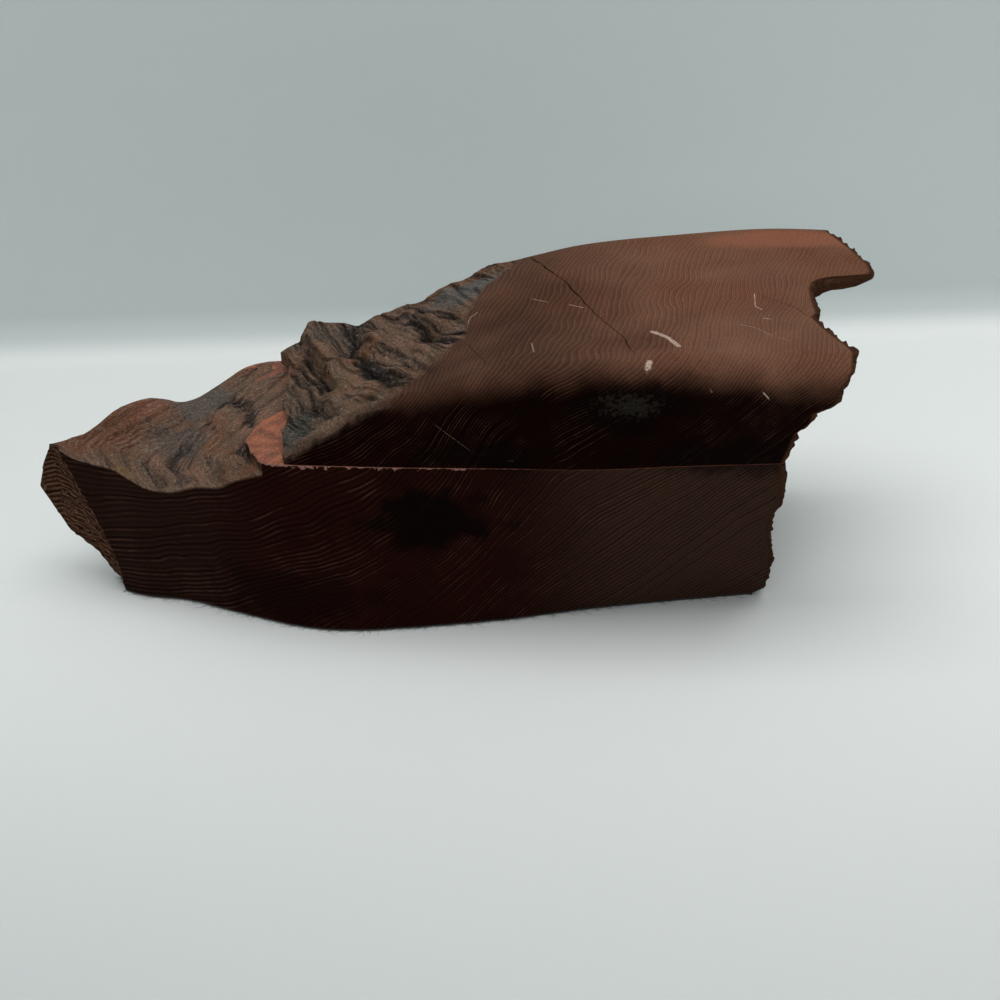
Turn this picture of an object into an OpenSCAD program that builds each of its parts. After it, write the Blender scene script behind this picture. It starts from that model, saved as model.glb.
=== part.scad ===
// Trinket box made from one weathered redwood chunk. A level saw cut parts the hollowed
// base from the lid, and two brass butt hinges at the back join them.
// Millimetres. X runs along the box, Y from front to back, Z up from the felt's underside.

/* [Block] */
// Overall length of the block
block_l = 308; // [250:1:380]
// Overall depth of the block, front to back
block_d = 118; // [104:1:150]
// Height of the saw cut that parts base and lid
seam_z = 65; // [50:1:90]
// Height of the lid above the saw cut
lid_h = 47; // [38:1:60]
// Gap between base and lid when the lid is closed
seam_gap = 0.3; // [0.1:0.1:0.8]
// Height of the weathered ridges
ridge_h = 1.6; // [0:0.2:3]

/* [Hollow] */
// Wood in front of the hollow at its foot
front_wall = 9; // [6:0.5:14]
// Wood between the lid's left edge and the hollow
left_wall = 10; // [6:0.5:20]
// Wood at the right end of the hollow
right_wall = 14; // [8:0.5:24]
// Wood between the hollow and the hinge leaves
hinge_rim = 3; // [2:0.5:6]
// Wood under the hollow
floor_t = 11; // [7:0.5:18]
// Corner radius of the hollow
hollow_r = 12; // [6:0.5:18]
// Length of the recess in the lid
recess_l = 110; // [80:1:125]
// Depth of the recess in the lid
recess_h = 13; // [6:0.5:16]

/* [Lining] */
// Thickness of the fabric lining
lining_t = 1; // [0.6:0.1:2]
// Bare wood between the lining's edge and the saw cut
lining_drop = 2; // [0.5:0.5:4]

/* [Felt] */
// Thickness of the felt under the base
felt_t = 1.2; // [0.8:0.1:3]
// How far the felt stays inside the wood's edge
felt_inset = 0.6; // [0:0.1:3]

/* [Hinges] */
// Length of one hinge
hinge_w = 36; // [28:1:44]
// Distance between the two hinges' middles
hinge_pitch = 100; // [84:1:112]
// Reach of a leaf from the hinge axis
leaf_d = 12; // [10:0.5:14]
// Thickness of a leaf
leaf_t = 1.2; // [1:0.1:1.6]
// Diameter of the knuckles
barrel_d = 4.4; // [4:0.1:5]
// Diameter of the hinge pin
pin_d = 2; // [1.5:0.1:2.4]
// Diameter of the pin's two heads
pin_head_d = 3; // [2.8:0.1:3.6]
// Thickness of a pin head
pin_head_t = 0.6; // [0.4:0.1:1]
// Hinge axis to the block's straight back
axis_inset = 6; // [4:0.5:8]
// Slope of the bevels that meet when the lid is fully open
bevel_angle = 50; // [45:1:54]

/* [Screws] */
// Diameter of a screw's shank
screw_d = 2; // [1.6:0.1:2.4]
// Length of a screw with its head
screw_l = 9; // [7:0.5:10]
// Diameter of a screw's head
head_d = 3.8; // [3.4:0.1:4.4]
// Distance from the hinge axis to the screws
screw_set = 7.5; // [6.5:0.5:8.5]
// Distance from the end screws to the hinge's ends
screw_margin = 6; // [5:0.5:8]
// Width of a screw's slot
slot_w = 0.6; // [0.4:0.1:0.8]
// Depth of a screw's slot
slot_h = 0.5; // [0.3:0.1:0.7]

/* [Fits] */
// Pin to knuckle bore, all round
pin_fit = 0.05; // [0.02:0.01:0.08]
// Knuckle to knuckle, along the pin
knuckle_gap = 0.2; // [0.1:0.05:0.4]
// Hinge to the wood that it is let into
mortise_fit = 0.3; // [0.1:0.05:0.5]
// Screw to its hole, all round
screw_fit = 0.05; // [0.02:0.01:0.1]

/* [Hidden] */
$fn = 48;

// The free shape is drawn at these sizes and then fitted to the sizes above.
drawn_l = 308;
drawn_d = 118;
drawn_seam = 65;
drawn_lid = 47;

// Front face in plan, as [x, y], at the foot, at the saw cut and at the brow of the lid.
front_foot = [
    [-126, -10], [-116, -15.4], [-99, -20], [-81, -29.3], [-58, -40.6], [-44, -44.6],
    [-27, -45.5], [15, -42], [49, -36], [74, -33], [109, -29.5], [130, -28]
];
front_seam = [
    [-150, 7], [-143, -1], [-125, -11.3], [-94, -25], [-65, -39.2], [-31, -45.4],
    [17, -50.8], [48, -54.2], [76, -54], [112, -54.5], [140, -55]
];
front_brow = [[-62, -40], [-31, -46.5], [17, -54], [48, -58.5], [76, -60], [112, -61.5], [140, -62]];
brow_z = 95;

// Back face in plan, as [x, y], at the foot and from the saw cut up.
back_foot = [[-130, -3], [-120, 8], [-105, 22], [-85, 37], [-65, 48], [-45, 53], [110, 54], [135, 54]];
back_seam = [
    [-152, 6], [-142, 9], [-134, 12], [-125, 20], [-114, 29], [-102, 35], [-88, 45],
    [-78, 53], [-68, 55], [-45, 55], [150, 55]
];
back_line = 55;
back_swell = 1;

// Broken left end, as [z, x]: its sharp front edge and its outermost line.
left_edge = [[0, -124], [12, -126], [26, -130], [43, -137], [55, -143], [65, -145]];
left_tip = [[0, -128], [12, -136], [20, -145], [28, -149], [38, -154], [45, -152], [54, -148], [65, -144]];

// Broken right end of the base, as [z, x]: at the front and at the back.
right_edge = [
    [0, 108], [2.4, 111.8], [9, 113.2], [18, 113.2], [31, 110.8], [40, 111], [46, 113.9], [57, 113.8],
    [65, 112.2]
];
right_back = [[0, 118], [20, 122], [40, 121], [65, 124]];

// Broken right end of the lid in plan at its top, as [y, x], with the notch and the hooked lip.
right_top = [
    [-62, 132], [-54, 133.7], [-47.5, 132.3], [-37, 128.6], [-25, 125.5], [-22, 127.8], [-13, 128],
    [-2, 129], [4, 131], [7, 134.5], [9, 140], [10.5, 147], [12, 152.5], [15, 154], [22, 154], [34.6, 150.5],
    [55, 143]
];
// How far that end has come out from the saw cut's plan, as [z, share]: under the brow and under the lip.
brow_rise = [
    [65, 0], [77, 0.16], [81.4, 0.39], [85.2, 0.42], [87.5, 0.7], [89.4, 0.79], [93.5, 0.82], [97, 0.92],
    [100, 1]
];
lip_rise = [[65, 0], [80, 0.05], [90, 0.14], [97, 0.32], [101, 0.58], [103, 0.92], [105, 1]];

// Height of the lid's top, as [x, z], along its front, middle and back.
top_front = [
    [-62, 66], [-52, 69.5], [-36, 80], [-22, 88], [-5, 93], [17, 99.5], [50, 103], [84, 104.3], [155, 104]
];
top_mid = [
    [-62, 66.5], [-50, 71.5], [-40, 77], [-30, 82], [-20, 86.5], [-10, 90.5], [0, 94.5], [20, 100],
    [50, 104.3], [84, 106.8], [130, 107], [155, 105.5]
];
top_back = [
    [-67, 69], [-61, 73], [-57, 75], [-53, 80], [-44, 81], [-34, 79], [-25, 83.5], [-18, 83], [-11, 87],
    [-1, 91], [10, 96], [20, 101], [43, 106.8], [58, 109], [82, 110.6], [119, 112], [146, 110.4], [155, 109]
];
top_rows = [-45, 0, 50];
// Radius that rounds the top's front edge, as [x, r], and its back edge.
brow_r = [[-62, 0.8], [-36, 2], [-10, 5], [10, 9], [140, 10]];
back_r = 4;

// Height of the base's weathered left part, as [x, z], along its front and its back.
ground_front = [
    [-146, 56], [-140, 53], [-125, 51.3], [-117, 46.4], [-107, 45.7], [-94, 50], [-84, 52.2], [-75, 56.9],
    [-66, 60.3], [-58, 63]
];
ground_back = [
    [-150, 53], [-134, 55.5], [-129, 58], [-124, 61], [-114, 61.5], [-107, 59.5],
    [-101, 57.2], [-95, 57.2], [-88, 60], [-80, 63.2], [-58, 64.5],
];
// Left border of the sawn face, as [y, x], and the lid's broken left edge, as [y, x].
sawn_left = [[-40, -64], [-30, -69], [-20, -72], [-4, -68], [5, -61], [33, -59.5], [45, -60.5], [49, -58], [55, -58]];
lid_left = [[-41, -56], [-20, -58], [-7, -58], [5, -60], [20, -60.5], [33, -60], [45, -63], [49, -66], [55, -67]];
// The lid's left edge where the hollow is set out from, the hinges' middle, and the left end of the bevels.
lid_left_x = -58;
hinge_mid = 26;
bevel_left = -58;
// Border between the weathered slope and the sanded top, as [y, x].
sanded_left = [[-50, -24], [-30, -8], [-11, 6], [24, 11], [51, 28]];

// Weathered ridges: on the base chevrons with their points to the left, on the lid slanting ledges, and
// cross ridges over both. Also how far they fade out at the sanded top and at the lid's thin left edge.
chevron_pitch = 19;
chevron_lean = 0.8;
chevron_y = -6;
ledge_pitch = 19;
ledge_lean = 0.47;
ledge_shift = 15.7;
cross_pitch = 31;
cross_lean = 1.3;
cross_share = 0.33;
sanded_fade = 12;
thin_edge_x = -64;
thin_edge_fade = 14;
// Share of the depth over which the base's ridges fade out at its two faces.
face_fade = 0.125;
// Least thickness of the lid, and least drop from the sawn face to the weathered ground.
lid_least = 1.2;
ground_step = 1;
// Height at which the plan of the lid's top is read, and the lid's right end there and at the saw cut.
top_plan_z = 104;
lid_end_low = 114;
lid_end_high = 134;
// Where the overhang under the brow turns into the overhang under the lip, as y, and over what depth.
lip_y = -10;
lip_blend = 16;

// Lattice of the two bodies: shares of the depth and of the height at which points lie.
depth_share = [
    0, 0.008, 0.03, 0.06, 0.1, 0.17, 0.25, 0.33, 0.41, 0.48, 0.53, 0.56, 0.58, 0.6, 0.64, 0.71, 0.79,
    0.87, 0.93, 0.965, 0.985, 0.995, 1
];
base_share = [0, 0.1, 0.2, 0.32, 0.44, 0.55, 0.66, 0.78, 0.9, 1];
lid_share = [0, 0.15, 0.3, 0.42, 0.54, 0.64, 0.74, 0.84, 0.92, 1];
base_steps = 54;
lid_steps = 48;

function mix(a, b, k) = a + (b - a) * k;
function clamp(v, low, high) = max(low, min(high, v));
function ease(k) = let (c = clamp(k, 0, 1)) c * c * (3 - 2 * c);

// Smooth curve through a list of points, held level past its two ends.
function span_of(p, x, i = 0) = i >= len(p) - 2 || x < p[i + 1][0] ? i : span_of(p, x, i + 1);
function slope_at(p, i) =
    let (a = max(i - 1, 0), b = min(i + 1, len(p) - 1))
    (p[b][1] - p[a][1]) / (p[b][0] - p[a][0]);
function curve(p, x) =
    let (
        c = clamp(x, p[0][0], p[len(p) - 1][0]),
        i = span_of(p, c),
        w = p[i + 1][0] - p[i][0],
        k = (c - p[i][0]) / w
    )
    p[i][1] * (1 + 2 * k) * (1 - k) * (1 - k) + slope_at(p, i) * w * k * (1 - k) * (1 - k)
    + p[i + 1][1] * k * k * (3 - 2 * k) - slope_at(p, i + 1) * w * k * k * (1 - k);

// From the drawn shape to the real one.
function real_x(x) = x * block_l / drawn_l;
function real_y(y) = y * block_d / drawn_d;
function real_base_z(z) = felt_t + z * (seam_z - felt_t) / drawn_seam;
function real_lid_z(z) = seam_z + seam_gap + (z - drawn_seam) * (lid_h - seam_gap) / drawn_lid;

// Sides of the drawn block.
function front_y(x, z) =
    z < drawn_seam
    ? mix(curve(front_foot, x), curve(front_seam, x), z / drawn_seam)
    : mix(curve(front_seam, x), curve(front_brow, x), clamp((z - drawn_seam) / (brow_z - drawn_seam), 0, 1));
function back_y(x, z) =
    mix(curve(back_foot, x), curve(back_seam, x), clamp(z / drawn_seam, 0, 1))
    + back_swell * sin(180 * clamp(z / drawn_seam, 0, 1));
function base_x(s, t, z) =
    mix(
        mix(lookup(z, left_edge), lookup(z, left_tip), t),
        mix(lookup(z, right_edge), lookup(z, right_back), t), s
    );
function base_y(x, t, z) = mix(front_y(x, z), back_y(x, z), t);
function lid_end_x(y, z) =
    let (
        t = clamp((y - front_y(drawn_l, z)) / (back_line - front_y(drawn_l, z)), 0, 1),
        foot = mix(lookup(drawn_seam, right_edge), lookup(drawn_seam, right_back), t),
        under = ease((y - lip_y) / lip_blend),
        rise = mix(lookup(z, brow_rise), lookup(z, lip_rise), under)
    )
    mix(foot, lookup(y, right_top), rise);
function lid_y(s, t, z) =
    let (x = mix(lid_left[0][1], mix(lid_end_low, lid_end_high, lookup(z, brow_rise)), s))
    mix(front_y(x, z), back_y(x, z), t);
function lid_x(s, t, z) =
    let (y = lid_y(s, t, z))
    mix(lookup(y, lid_left), lid_end_x(y, z), s);

function ridged(main, x, y) = ridge_h * mix(main, sin(360 * (x - cross_lean * y) / cross_pitch), cross_share);
function chevrons(x, y) = ridged(sin(360 * (x - chevron_lean * abs(y - chevron_y)) / chevron_pitch), x, y);
function ledges(x, y) = ridged(sin(360 * (x + ledge_lean * y + ledge_shift) / ledge_pitch), x, y);
function weathered(x, y) = 1 - ease((x - lookup(y, sanded_left)) / sanded_fade + 1);

// Tops of the drawn block.
function ground(x, y, t) =
    x > lookup(y, sawn_left)
    ? drawn_seam
    : let (
          slope = mix(curve(ground_front, x), curve(ground_back, x), t),
          fade = clamp(min(t, 1 - t) / face_fade, 0, 1)
      )
      min(drawn_seam - ground_step, slope + chevrons(x, y) * fade);
function top(x, y) =
    let (rows = [
        [top_rows[0], curve(top_front, x)], [top_rows[1], curve(top_mid, x)], [top_rows[2], curve(top_back, x)]
    ])
    curve(rows, y) + ledges(x, y) * weathered(x, y) * clamp((x - thin_edge_x) / thin_edge_fade, 0, 1);
// What a rounded edge of radius r takes off at the distance d from the face.
function edge_drop(d, r) = d >= r ? 0 : r - sqrt(max(0, r * r - (r - d) * (r - d)));
function lid_top(x, y, t) =
    let (depth = back_line - front_y(x, brow_z), r = curve(brow_r, x))
    max(drawn_seam + lid_least, top(x, y) - edge_drop(t * depth, r) - edge_drop((1 - t) * depth, back_r));

function base_point(s, t, w) =
    let (
        x1 = base_x(s, t, drawn_seam),
        z1 = ground(x1, base_y(x1, t, drawn_seam), t),
        z = w * z1,
        x = base_x(s, t, z)
    )
    [real_x(x), real_y(base_y(x, t, z)), real_base_z(z)];
function lid_point(s, t, w) =
    let (
        x1 = lid_x(s, t, top_plan_z),
        z1 = lid_top(x1, lid_y(s, t, top_plan_z), t),
        z = mix(drawn_seam, z1, w)
    )
    [real_x(lid_x(s, t, z)), real_y(lid_y(s, t, z)), real_lid_z(z)];

base_skin = function (s, t, w) base_point(s, t, w);
lid_skin = function (s, t, w) lid_point(s, t, w);

// Closed skin of a block: i runs along it, j from front to back and k upward.
module block(point, ni, depths, heights) {
    nj = len(depths) - 1;
    nk = len(heights) - 1;
    cap = (nj + 1) * (nk + 1);
    ring = 2 * (nj + nk);
    at = function (i, j, k) point(i / ni, depths[j], heights[k]);
    id = function (i, j, k)
        i == 0 ? j * (nk + 1) + k :
        i == ni ? cap + (ni - 1) * ring + j * (nk + 1) + k :
        cap + (i - 1) * ring + (
            k == 0 ? j :
            j == nj ? nj + k :
            k == nk ? nj + nk + (nj - j) :
            2 * nj + nk + (nk - k)
        );
    points = [
        for (j = [0:nj], k = [0:nk]) at(0, j, k),
        for (i = [1:ni - 1]) each [
            for (j = [0:nj]) at(i, j, 0),
            for (k = [1:nk]) at(i, nj, k),
            for (j = [nj - 1:-1:0]) at(i, j, nk),
            for (k = [nk - 1:-1:1]) at(i, 0, k)
        ],
        for (j = [0:nj], k = [0:nk]) at(ni, j, k)
    ];
    quads = [
        for (i = [0:ni - 1], j = [0:nj - 1]) each [
            [id(i, j, 0), id(i + 1, j, 0), id(i + 1, j + 1, 0), id(i, j + 1, 0)],
            [id(i, j, nk), id(i, j + 1, nk), id(i + 1, j + 1, nk), id(i + 1, j, nk)]
        ],
        for (i = [0:ni - 1], k = [0:nk - 1]) each [
            [id(i, 0, k), id(i, 0, k + 1), id(i + 1, 0, k + 1), id(i + 1, 0, k)],
            [id(i, nj, k), id(i + 1, nj, k), id(i + 1, nj, k + 1), id(i, nj, k + 1)]
        ],
        for (j = [0:nj - 1], k = [0:nk - 1]) each [
            [id(0, j, k), id(0, j + 1, k), id(0, j + 1, k + 1), id(0, j, k + 1)],
            [id(ni, j, k), id(ni, j, k + 1), id(ni, j + 1, k + 1), id(ni, j + 1, k)]
        ]
    ];
    polyhedron(points, [for (q = quads) each [[q[0], q[1], q[2]], [q[0], q[2], q[3]]]]);
}

// Places that the pieces share.
axis_y = real_y(back_line) - axis_inset;
axis_z = seam_z + seam_gap / 2;
lid_z = seam_z + seam_gap;
barrel_r = barrel_d / 2;
hinge_mid_x = real_x(hinge_mid);
hinge_x = [hinge_mid_x - hinge_pitch / 2, hinge_mid_x + hinge_pitch / 2];
hollow_x0 = real_x(lid_left_x) + left_wall;
hollow_x1 = real_x(lookup(drawn_seam, right_edge)) - right_wall;
hollow_y0 = real_y(front_y(hollow_x1 * drawn_l / block_l, floor_t)) + front_wall;
hollow_y1 = axis_y - leaf_d - hinge_rim;
hollow_z = felt_t + floor_t;
recess_x0 = hollow_x1 - recess_l;
knuckles = 5;
knuckle_l = (hinge_w - (knuckles - 1) * knuckle_gap) / knuckles;
far = 40;
head_h = (head_d - screw_d) / 2;
point_h = screw_d;

// Flat outline with round corners, between two corners.
module rounded(x0, x1, y0, y1, r) {
    translate([x0 + r, y0])
        square([x1 - x0 - 2 * r, y1 - y0]);
    translate([x0, y0 + r])
        square([x1 - x0, y1 - y0 - 2 * r]);
    for (x = [x0 + r, x1 - r], y = [y0 + r, y1 - r])
        translate([x, y])
            circle(r);
}
module hollow_outline(x0, inset) {
    rounded(x0 + inset, hollow_x1 - inset, hollow_y0 + inset, hollow_y1 - inset, hollow_r - inset);
}
// A prism along X over the whole lid, from a profile in Y and Z.
module along_x(profile) {
    translate([real_x(bevel_left), 0, 0])
        rotate([90, 0, 90])
            linear_extrude(block_l)
                polygon(profile);
}
// The lid's thin left end stays in front of the hinge axis.
module left_of_bevel() {
    translate([-block_l, axis_y, seam_z])
        cube([block_l + real_x(bevel_left), far, 2 * lid_h]);
}
// Screw places of both hinges.
module each_screw() {
    reach = hinge_w / 2 - screw_margin;
    for (x = hinge_x, dx = [-reach, 0, reach])
        translate([x + dx, axis_y - screw_set, 0])
            children();
}
// A turned cylinder along X about the hinge axis.
module on_axis(x, length, r) {
    translate([x - length / 2, axis_y, axis_z])
        rotate([0, 90, 0])
            cylinder(h = length, r = r);
}
// Room for both hinges in one of the two bodies. Up is 1 in the lid and -1 in the base.
module hinge_room(up) {
    face = up > 0 ? lid_z : seam_z;
    room_w = hinge_w + 2 * mortise_fit;
    for (x = hinge_x) {
        translate([x - room_w / 2, axis_y - leaf_d - mortise_fit, up > 0 ? face - 1 : face - leaf_t])
            cube([room_w, leaf_d + mortise_fit, leaf_t + 1]);
        on_axis(x, room_w + 2 * pin_head_t, barrel_r + mortise_fit);
    }
    each_screw()
        translate([0, 0, up > 0 ? face : face - screw_l - screw_fit])
            cylinder(h = screw_l + screw_fit, d = screw_d + 2 * screw_fit);
}

module base_body() {
    slope = far * tan(bevel_angle);
    color("#3a1a12")
        difference() {
            block(base_skin, base_steps, depth_share, base_share);
            translate([0, 0, hollow_z])
                linear_extrude(seam_z)
                    hollow_outline(hollow_x0, 0);
            along_x([
                [axis_y, axis_z + far], [axis_y, axis_z], [axis_y + far, axis_z - slope],
                [axis_y + far, axis_z + far]
            ]);
            hinge_room(-1);
        }
}
module lid_body() {
    slope = far * tan(bevel_angle);
    color("#6b3c2c")
        difference() {
            block(lid_skin, lid_steps, depth_share, lid_share);
            translate([0, 0, lid_z - 1])
                linear_extrude(recess_h + 1)
                    hollow_outline(recess_x0, 0);
            along_x([
                [axis_y, axis_z - far], [axis_y + far, axis_z - far], [axis_y + far, axis_z + slope],
                [axis_y, axis_z]
            ]);
            left_of_bevel();
            hinge_room(1);
        }
}
module bottom_felt() {
    steps = 40;
    trim = felt_inset / block_l;
    edge = function (s, t)
        let (x = base_x(mix(trim, 1 - trim, s), t, 0))
        [real_x(x), real_y(base_y(x, t, 0)) + (t == 0 ? felt_inset : -felt_inset)];
    outline = [
        for (i = [0:steps]) edge(i / steps, 0),
        for (i = [steps:-1:0]) edge(i / steps, 1)
    ];
    color("#15130f")
        linear_extrude(felt_t)
            polygon(outline);
}
module floor_lining() {
    color("#17140f")
        translate([0, 0, hollow_z])
            linear_extrude(lining_t)
                hollow_outline(hollow_x0, 0);
}
module lining_ring(x0, z, height) {
    color("#17140f")
        translate([0, 0, z])
            linear_extrude(height)
                difference() {
                    hollow_outline(x0, 0);
                    hollow_outline(x0, lining_t);
                }
}
module wall_lining() {
    lining_ring(hollow_x0, hollow_z + lining_t, seam_z - lining_drop - hollow_z - lining_t);
}
module lid_top_lining() {
    color("#17140f")
        translate([0, 0, lid_z + recess_h - lining_t])
            linear_extrude(lining_t)
                hollow_outline(recess_x0, 0);
}
module lid_wall_lining() {
    lining_ring(recess_x0, lid_z + lining_drop, recess_h - lining_drop - lining_t);
}

// One leaf with its knuckles. Up is 1 for the lid's leaf and -1 for the base's.
module leaf(x, up) {
    first = up > 0 ? 1 : 0;
    pitch = knuckle_l + knuckle_gap;
    start = x - hinge_w / 2 + knuckle_l / 2;
    color("#b08d45")
        difference() {
            union() {
                difference() {
                    translate([x - hinge_w / 2, axis_y - leaf_d, up > 0 ? lid_z : seam_z - leaf_t])
                        cube([hinge_w, leaf_d, leaf_t]);
                    for (n = [1 - first:2:knuckles - 1])
                        on_axis(start + n * pitch, knuckle_l + 2 * knuckle_gap, barrel_r + mortise_fit);
                }
                for (n = [first:2:knuckles - 1])
                    on_axis(start + n * pitch, knuckle_l, barrel_r);
            }
            on_axis(x, hinge_w + 1, pin_d / 2 + pin_fit);
            each_screw()
                screw_hole(up);
        }
}
module screw_hole(up) {
    face = up > 0 ? lid_z : seam_z;
    translate([0, 0, face])
        mirror([0, 0, up > 0 ? 1 : 0])
            rotate_extrude()
                polygon([
                    [0, 1], [head_d / 2 + screw_fit, 1], [head_d / 2 + screw_fit, 0],
                    [screw_d / 2 + screw_fit, -head_h - screw_fit], [screw_d / 2 + screw_fit, -leaf_t - 1],
                    [0, -leaf_t - 1]
                ]);
}
module screw(up) {
    face = up > 0 ? lid_z : seam_z;
    translate([0, 0, face])
        mirror([0, 0, up > 0 ? 1 : 0])
            difference() {
                rotate_extrude()
                    polygon([
                        [0, 0], [head_d / 2, 0], [screw_d / 2, -head_h], [screw_d / 2, point_h - screw_l],
                        [0, -screw_l]
                    ]);
                translate([-head_d / 2 - 1, -slot_w / 2, -slot_h])
                    cube([head_d + 2, slot_w, slot_h + 1]);
            }
}
module hinge_pin(x) {
    color("#c09a50") {
        on_axis(x, hinge_w + 2 * knuckle_gap, pin_d / 2);
        for (side = [-1, 1])
            on_axis(x + side * (hinge_w / 2 + knuckle_gap + pin_head_t / 2), pin_head_t, pin_head_d / 2);
    }
}
module left_base_leaf() {
    leaf(hinge_x[0], -1);
}
module left_lid_leaf() {
    leaf(hinge_x[0], 1);
}
module left_hinge_pin() {
    hinge_pin(hinge_x[0]);
}
module right_base_leaf() {
    leaf(hinge_x[1], -1);
}
module right_lid_leaf() {
    leaf(hinge_x[1], 1);
}
module right_hinge_pin() {
    hinge_pin(hinge_x[1]);
}
module base_screws() {
    color("#c09a50")
        each_screw()
            screw(-1);
}
module lid_screws() {
    color("#c09a50")
        each_screw()
            screw(1);
}

base_body();
lid_body();
bottom_felt();
floor_lining();
wall_lining();
lid_top_lining();
lid_wall_lining();
left_base_leaf();
left_lid_leaf();
left_hinge_pin();
right_base_leaf();
right_lid_leaf();
right_hinge_pin();
base_screws();
lid_screws();
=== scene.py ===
"""Looks of the redwood trinket box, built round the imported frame. Lengths are in millimetres."""
from math import cos, pi, radians, sin, tan

import bmesh
import bpy
import numpy as np
from mathutils import Euler, Matrix, Vector, noise


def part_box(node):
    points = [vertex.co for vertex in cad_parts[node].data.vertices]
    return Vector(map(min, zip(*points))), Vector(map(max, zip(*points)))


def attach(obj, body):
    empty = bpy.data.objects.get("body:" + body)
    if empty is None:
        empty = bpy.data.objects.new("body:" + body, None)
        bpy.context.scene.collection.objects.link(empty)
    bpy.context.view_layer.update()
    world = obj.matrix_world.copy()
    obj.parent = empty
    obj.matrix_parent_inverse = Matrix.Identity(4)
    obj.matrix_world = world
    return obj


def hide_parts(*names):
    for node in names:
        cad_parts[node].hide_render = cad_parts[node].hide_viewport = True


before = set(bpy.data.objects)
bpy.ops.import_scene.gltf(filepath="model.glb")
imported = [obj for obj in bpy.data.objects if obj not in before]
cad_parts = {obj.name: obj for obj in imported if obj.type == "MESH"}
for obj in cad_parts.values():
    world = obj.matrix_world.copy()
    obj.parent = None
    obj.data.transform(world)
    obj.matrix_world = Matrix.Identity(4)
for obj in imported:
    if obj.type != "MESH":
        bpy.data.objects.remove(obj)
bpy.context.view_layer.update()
MM = 0.001


def box_mm(node):
    """Lowest and highest corner of a CAD node, in millimetres."""
    low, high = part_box(node)
    return np.array(low) / MM, np.array(high) / MM


# Driving sizes, read from the frame
FELT_T = box_mm("bottom_felt")[1][2]
SEAM_Z = box_mm("base_body")[1][2]
LID_Z = box_mm("lid_body")[0][2]
LID_TOP = box_mm("lid_body")[1][2]
AXIS_Z = (SEAM_Z + LID_Z) / 2
HOLLOW_LOW, HOLLOW_HIGH = box_mm("floor_lining")
RECESS_LOW, RECESS_HIGH = box_mm("lid_top_lining")

# Sizes that part.scad gives the same values
DRAWN_SEAM = 65.0
DRAWN_LID = 47.0
LID_H = 47.0
SEAM_GAP = LID_Z - SEAM_Z
AXIS_Y = 49.0
HINGE_X = (-24.0, 76.0)
HINGE_W = 36.0
LEAF_D = 12.0
LEAF_THICK = 1.2
BARREL_R = 2.2
PIN_HEAD_T = 0.6
MORTISE_FIT = 0.3
BEVEL = radians(50)
HOLLOW_R = 12.0
LINING_T = 1.0
RIDGE_H = 1.6
RIDGE_PITCH = 19.0
SLANT_PITCH = 31.0
SLANT = 1.3
SLANT_SHARE = 0.33
FLOW_SLANT = 0.47
LID_LEAST = 1.2
GROUND_STEP = 1.0

# Outlines of the block, as in part.scad: front and back in plan, [x, y]
FRONT_FOOT = [
    (-126, -10), (-116, -15.4), (-99, -20), (-81, -29.3), (-58, -40.6), (-44, -44.6),
    (-27, -45.5), (15, -42), (49, -36), (74, -33), (109, -29.5), (130, -28),
]
FRONT_SEAM = [
    (-150, 7), (-143, -1), (-125, -11.3), (-94, -25), (-65, -39.2), (-31, -45.4),
    (17, -50.8), (48, -54.2), (76, -54), (112, -54.5), (140, -55),
]
FRONT_BROW = [(-62, -40), (-31, -46.5), (17, -54), (48, -58.5), (76, -60), (112, -61.5), (140, -62)]
BROW_Z = 95.0
BACK_FOOT = [(-130, -3), (-120, 8), (-105, 22), (-85, 37), (-65, 48), (-45, 53), (110, 54), (135, 54)]
BACK_SEAM = [
    (-152, 6), (-142, 9), (-134, 12), (-125, 20), (-114, 29), (-102, 35), (-88, 45),
    (-78, 53), (-68, 55), (-45, 55), (150, 55),
]
BACK_LINE = 55.0
BACK_SWELL = 1.0

# Ends of the base, [z, x], and of the lid
LEFT_EDGE = [(0, -124), (12, -126), (26, -130), (43, -137), (55, -143), (65, -145)]
LEFT_TIP = [(0, -128), (12, -136), (20, -145), (28, -149), (38, -154), (45, -152), (54, -148), (65, -144)]
RIGHT_EDGE = [
    (0, 108), (2.4, 111.8), (9, 113.2), (18, 113.2), (31, 110.8), (40, 111), (46, 113.9), (57, 113.8),
    (65, 112.2),
]
RIGHT_BACK = [(0, 118), (20, 122), (40, 121), (65, 124)]
RIGHT_TOP = [
    (-62, 132), (-54, 133.7), (-47.5, 132.3), (-37, 128.6), (-25, 125.5), (-22, 127.8), (-13, 128),
    (-2, 129), (4, 131), (7, 134.5), (9, 140), (10.5, 147), (12, 152.5), (15, 154), (22, 154), (34.6, 150.5),
    (55, 143),
]
BROW_RISE = [
    (65, 0), (77, 0.16), (81.4, 0.39), (85.2, 0.42), (87.5, 0.7), (89.4, 0.79), (93.5, 0.82), (97, 0.92),
    (100, 1),
]
LIP_RISE = [(65, 0), (80, 0.05), (90, 0.14), (97, 0.32), (101, 0.58), (103, 0.92), (105, 1)]
LIP_Y = -10.0
LIP_BLEND = 16.0
TOP_PLAN_Z = 104.0
LID_END_LOW = 114.0
LID_END_HIGH = 134.0
END_X = 154.0

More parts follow.
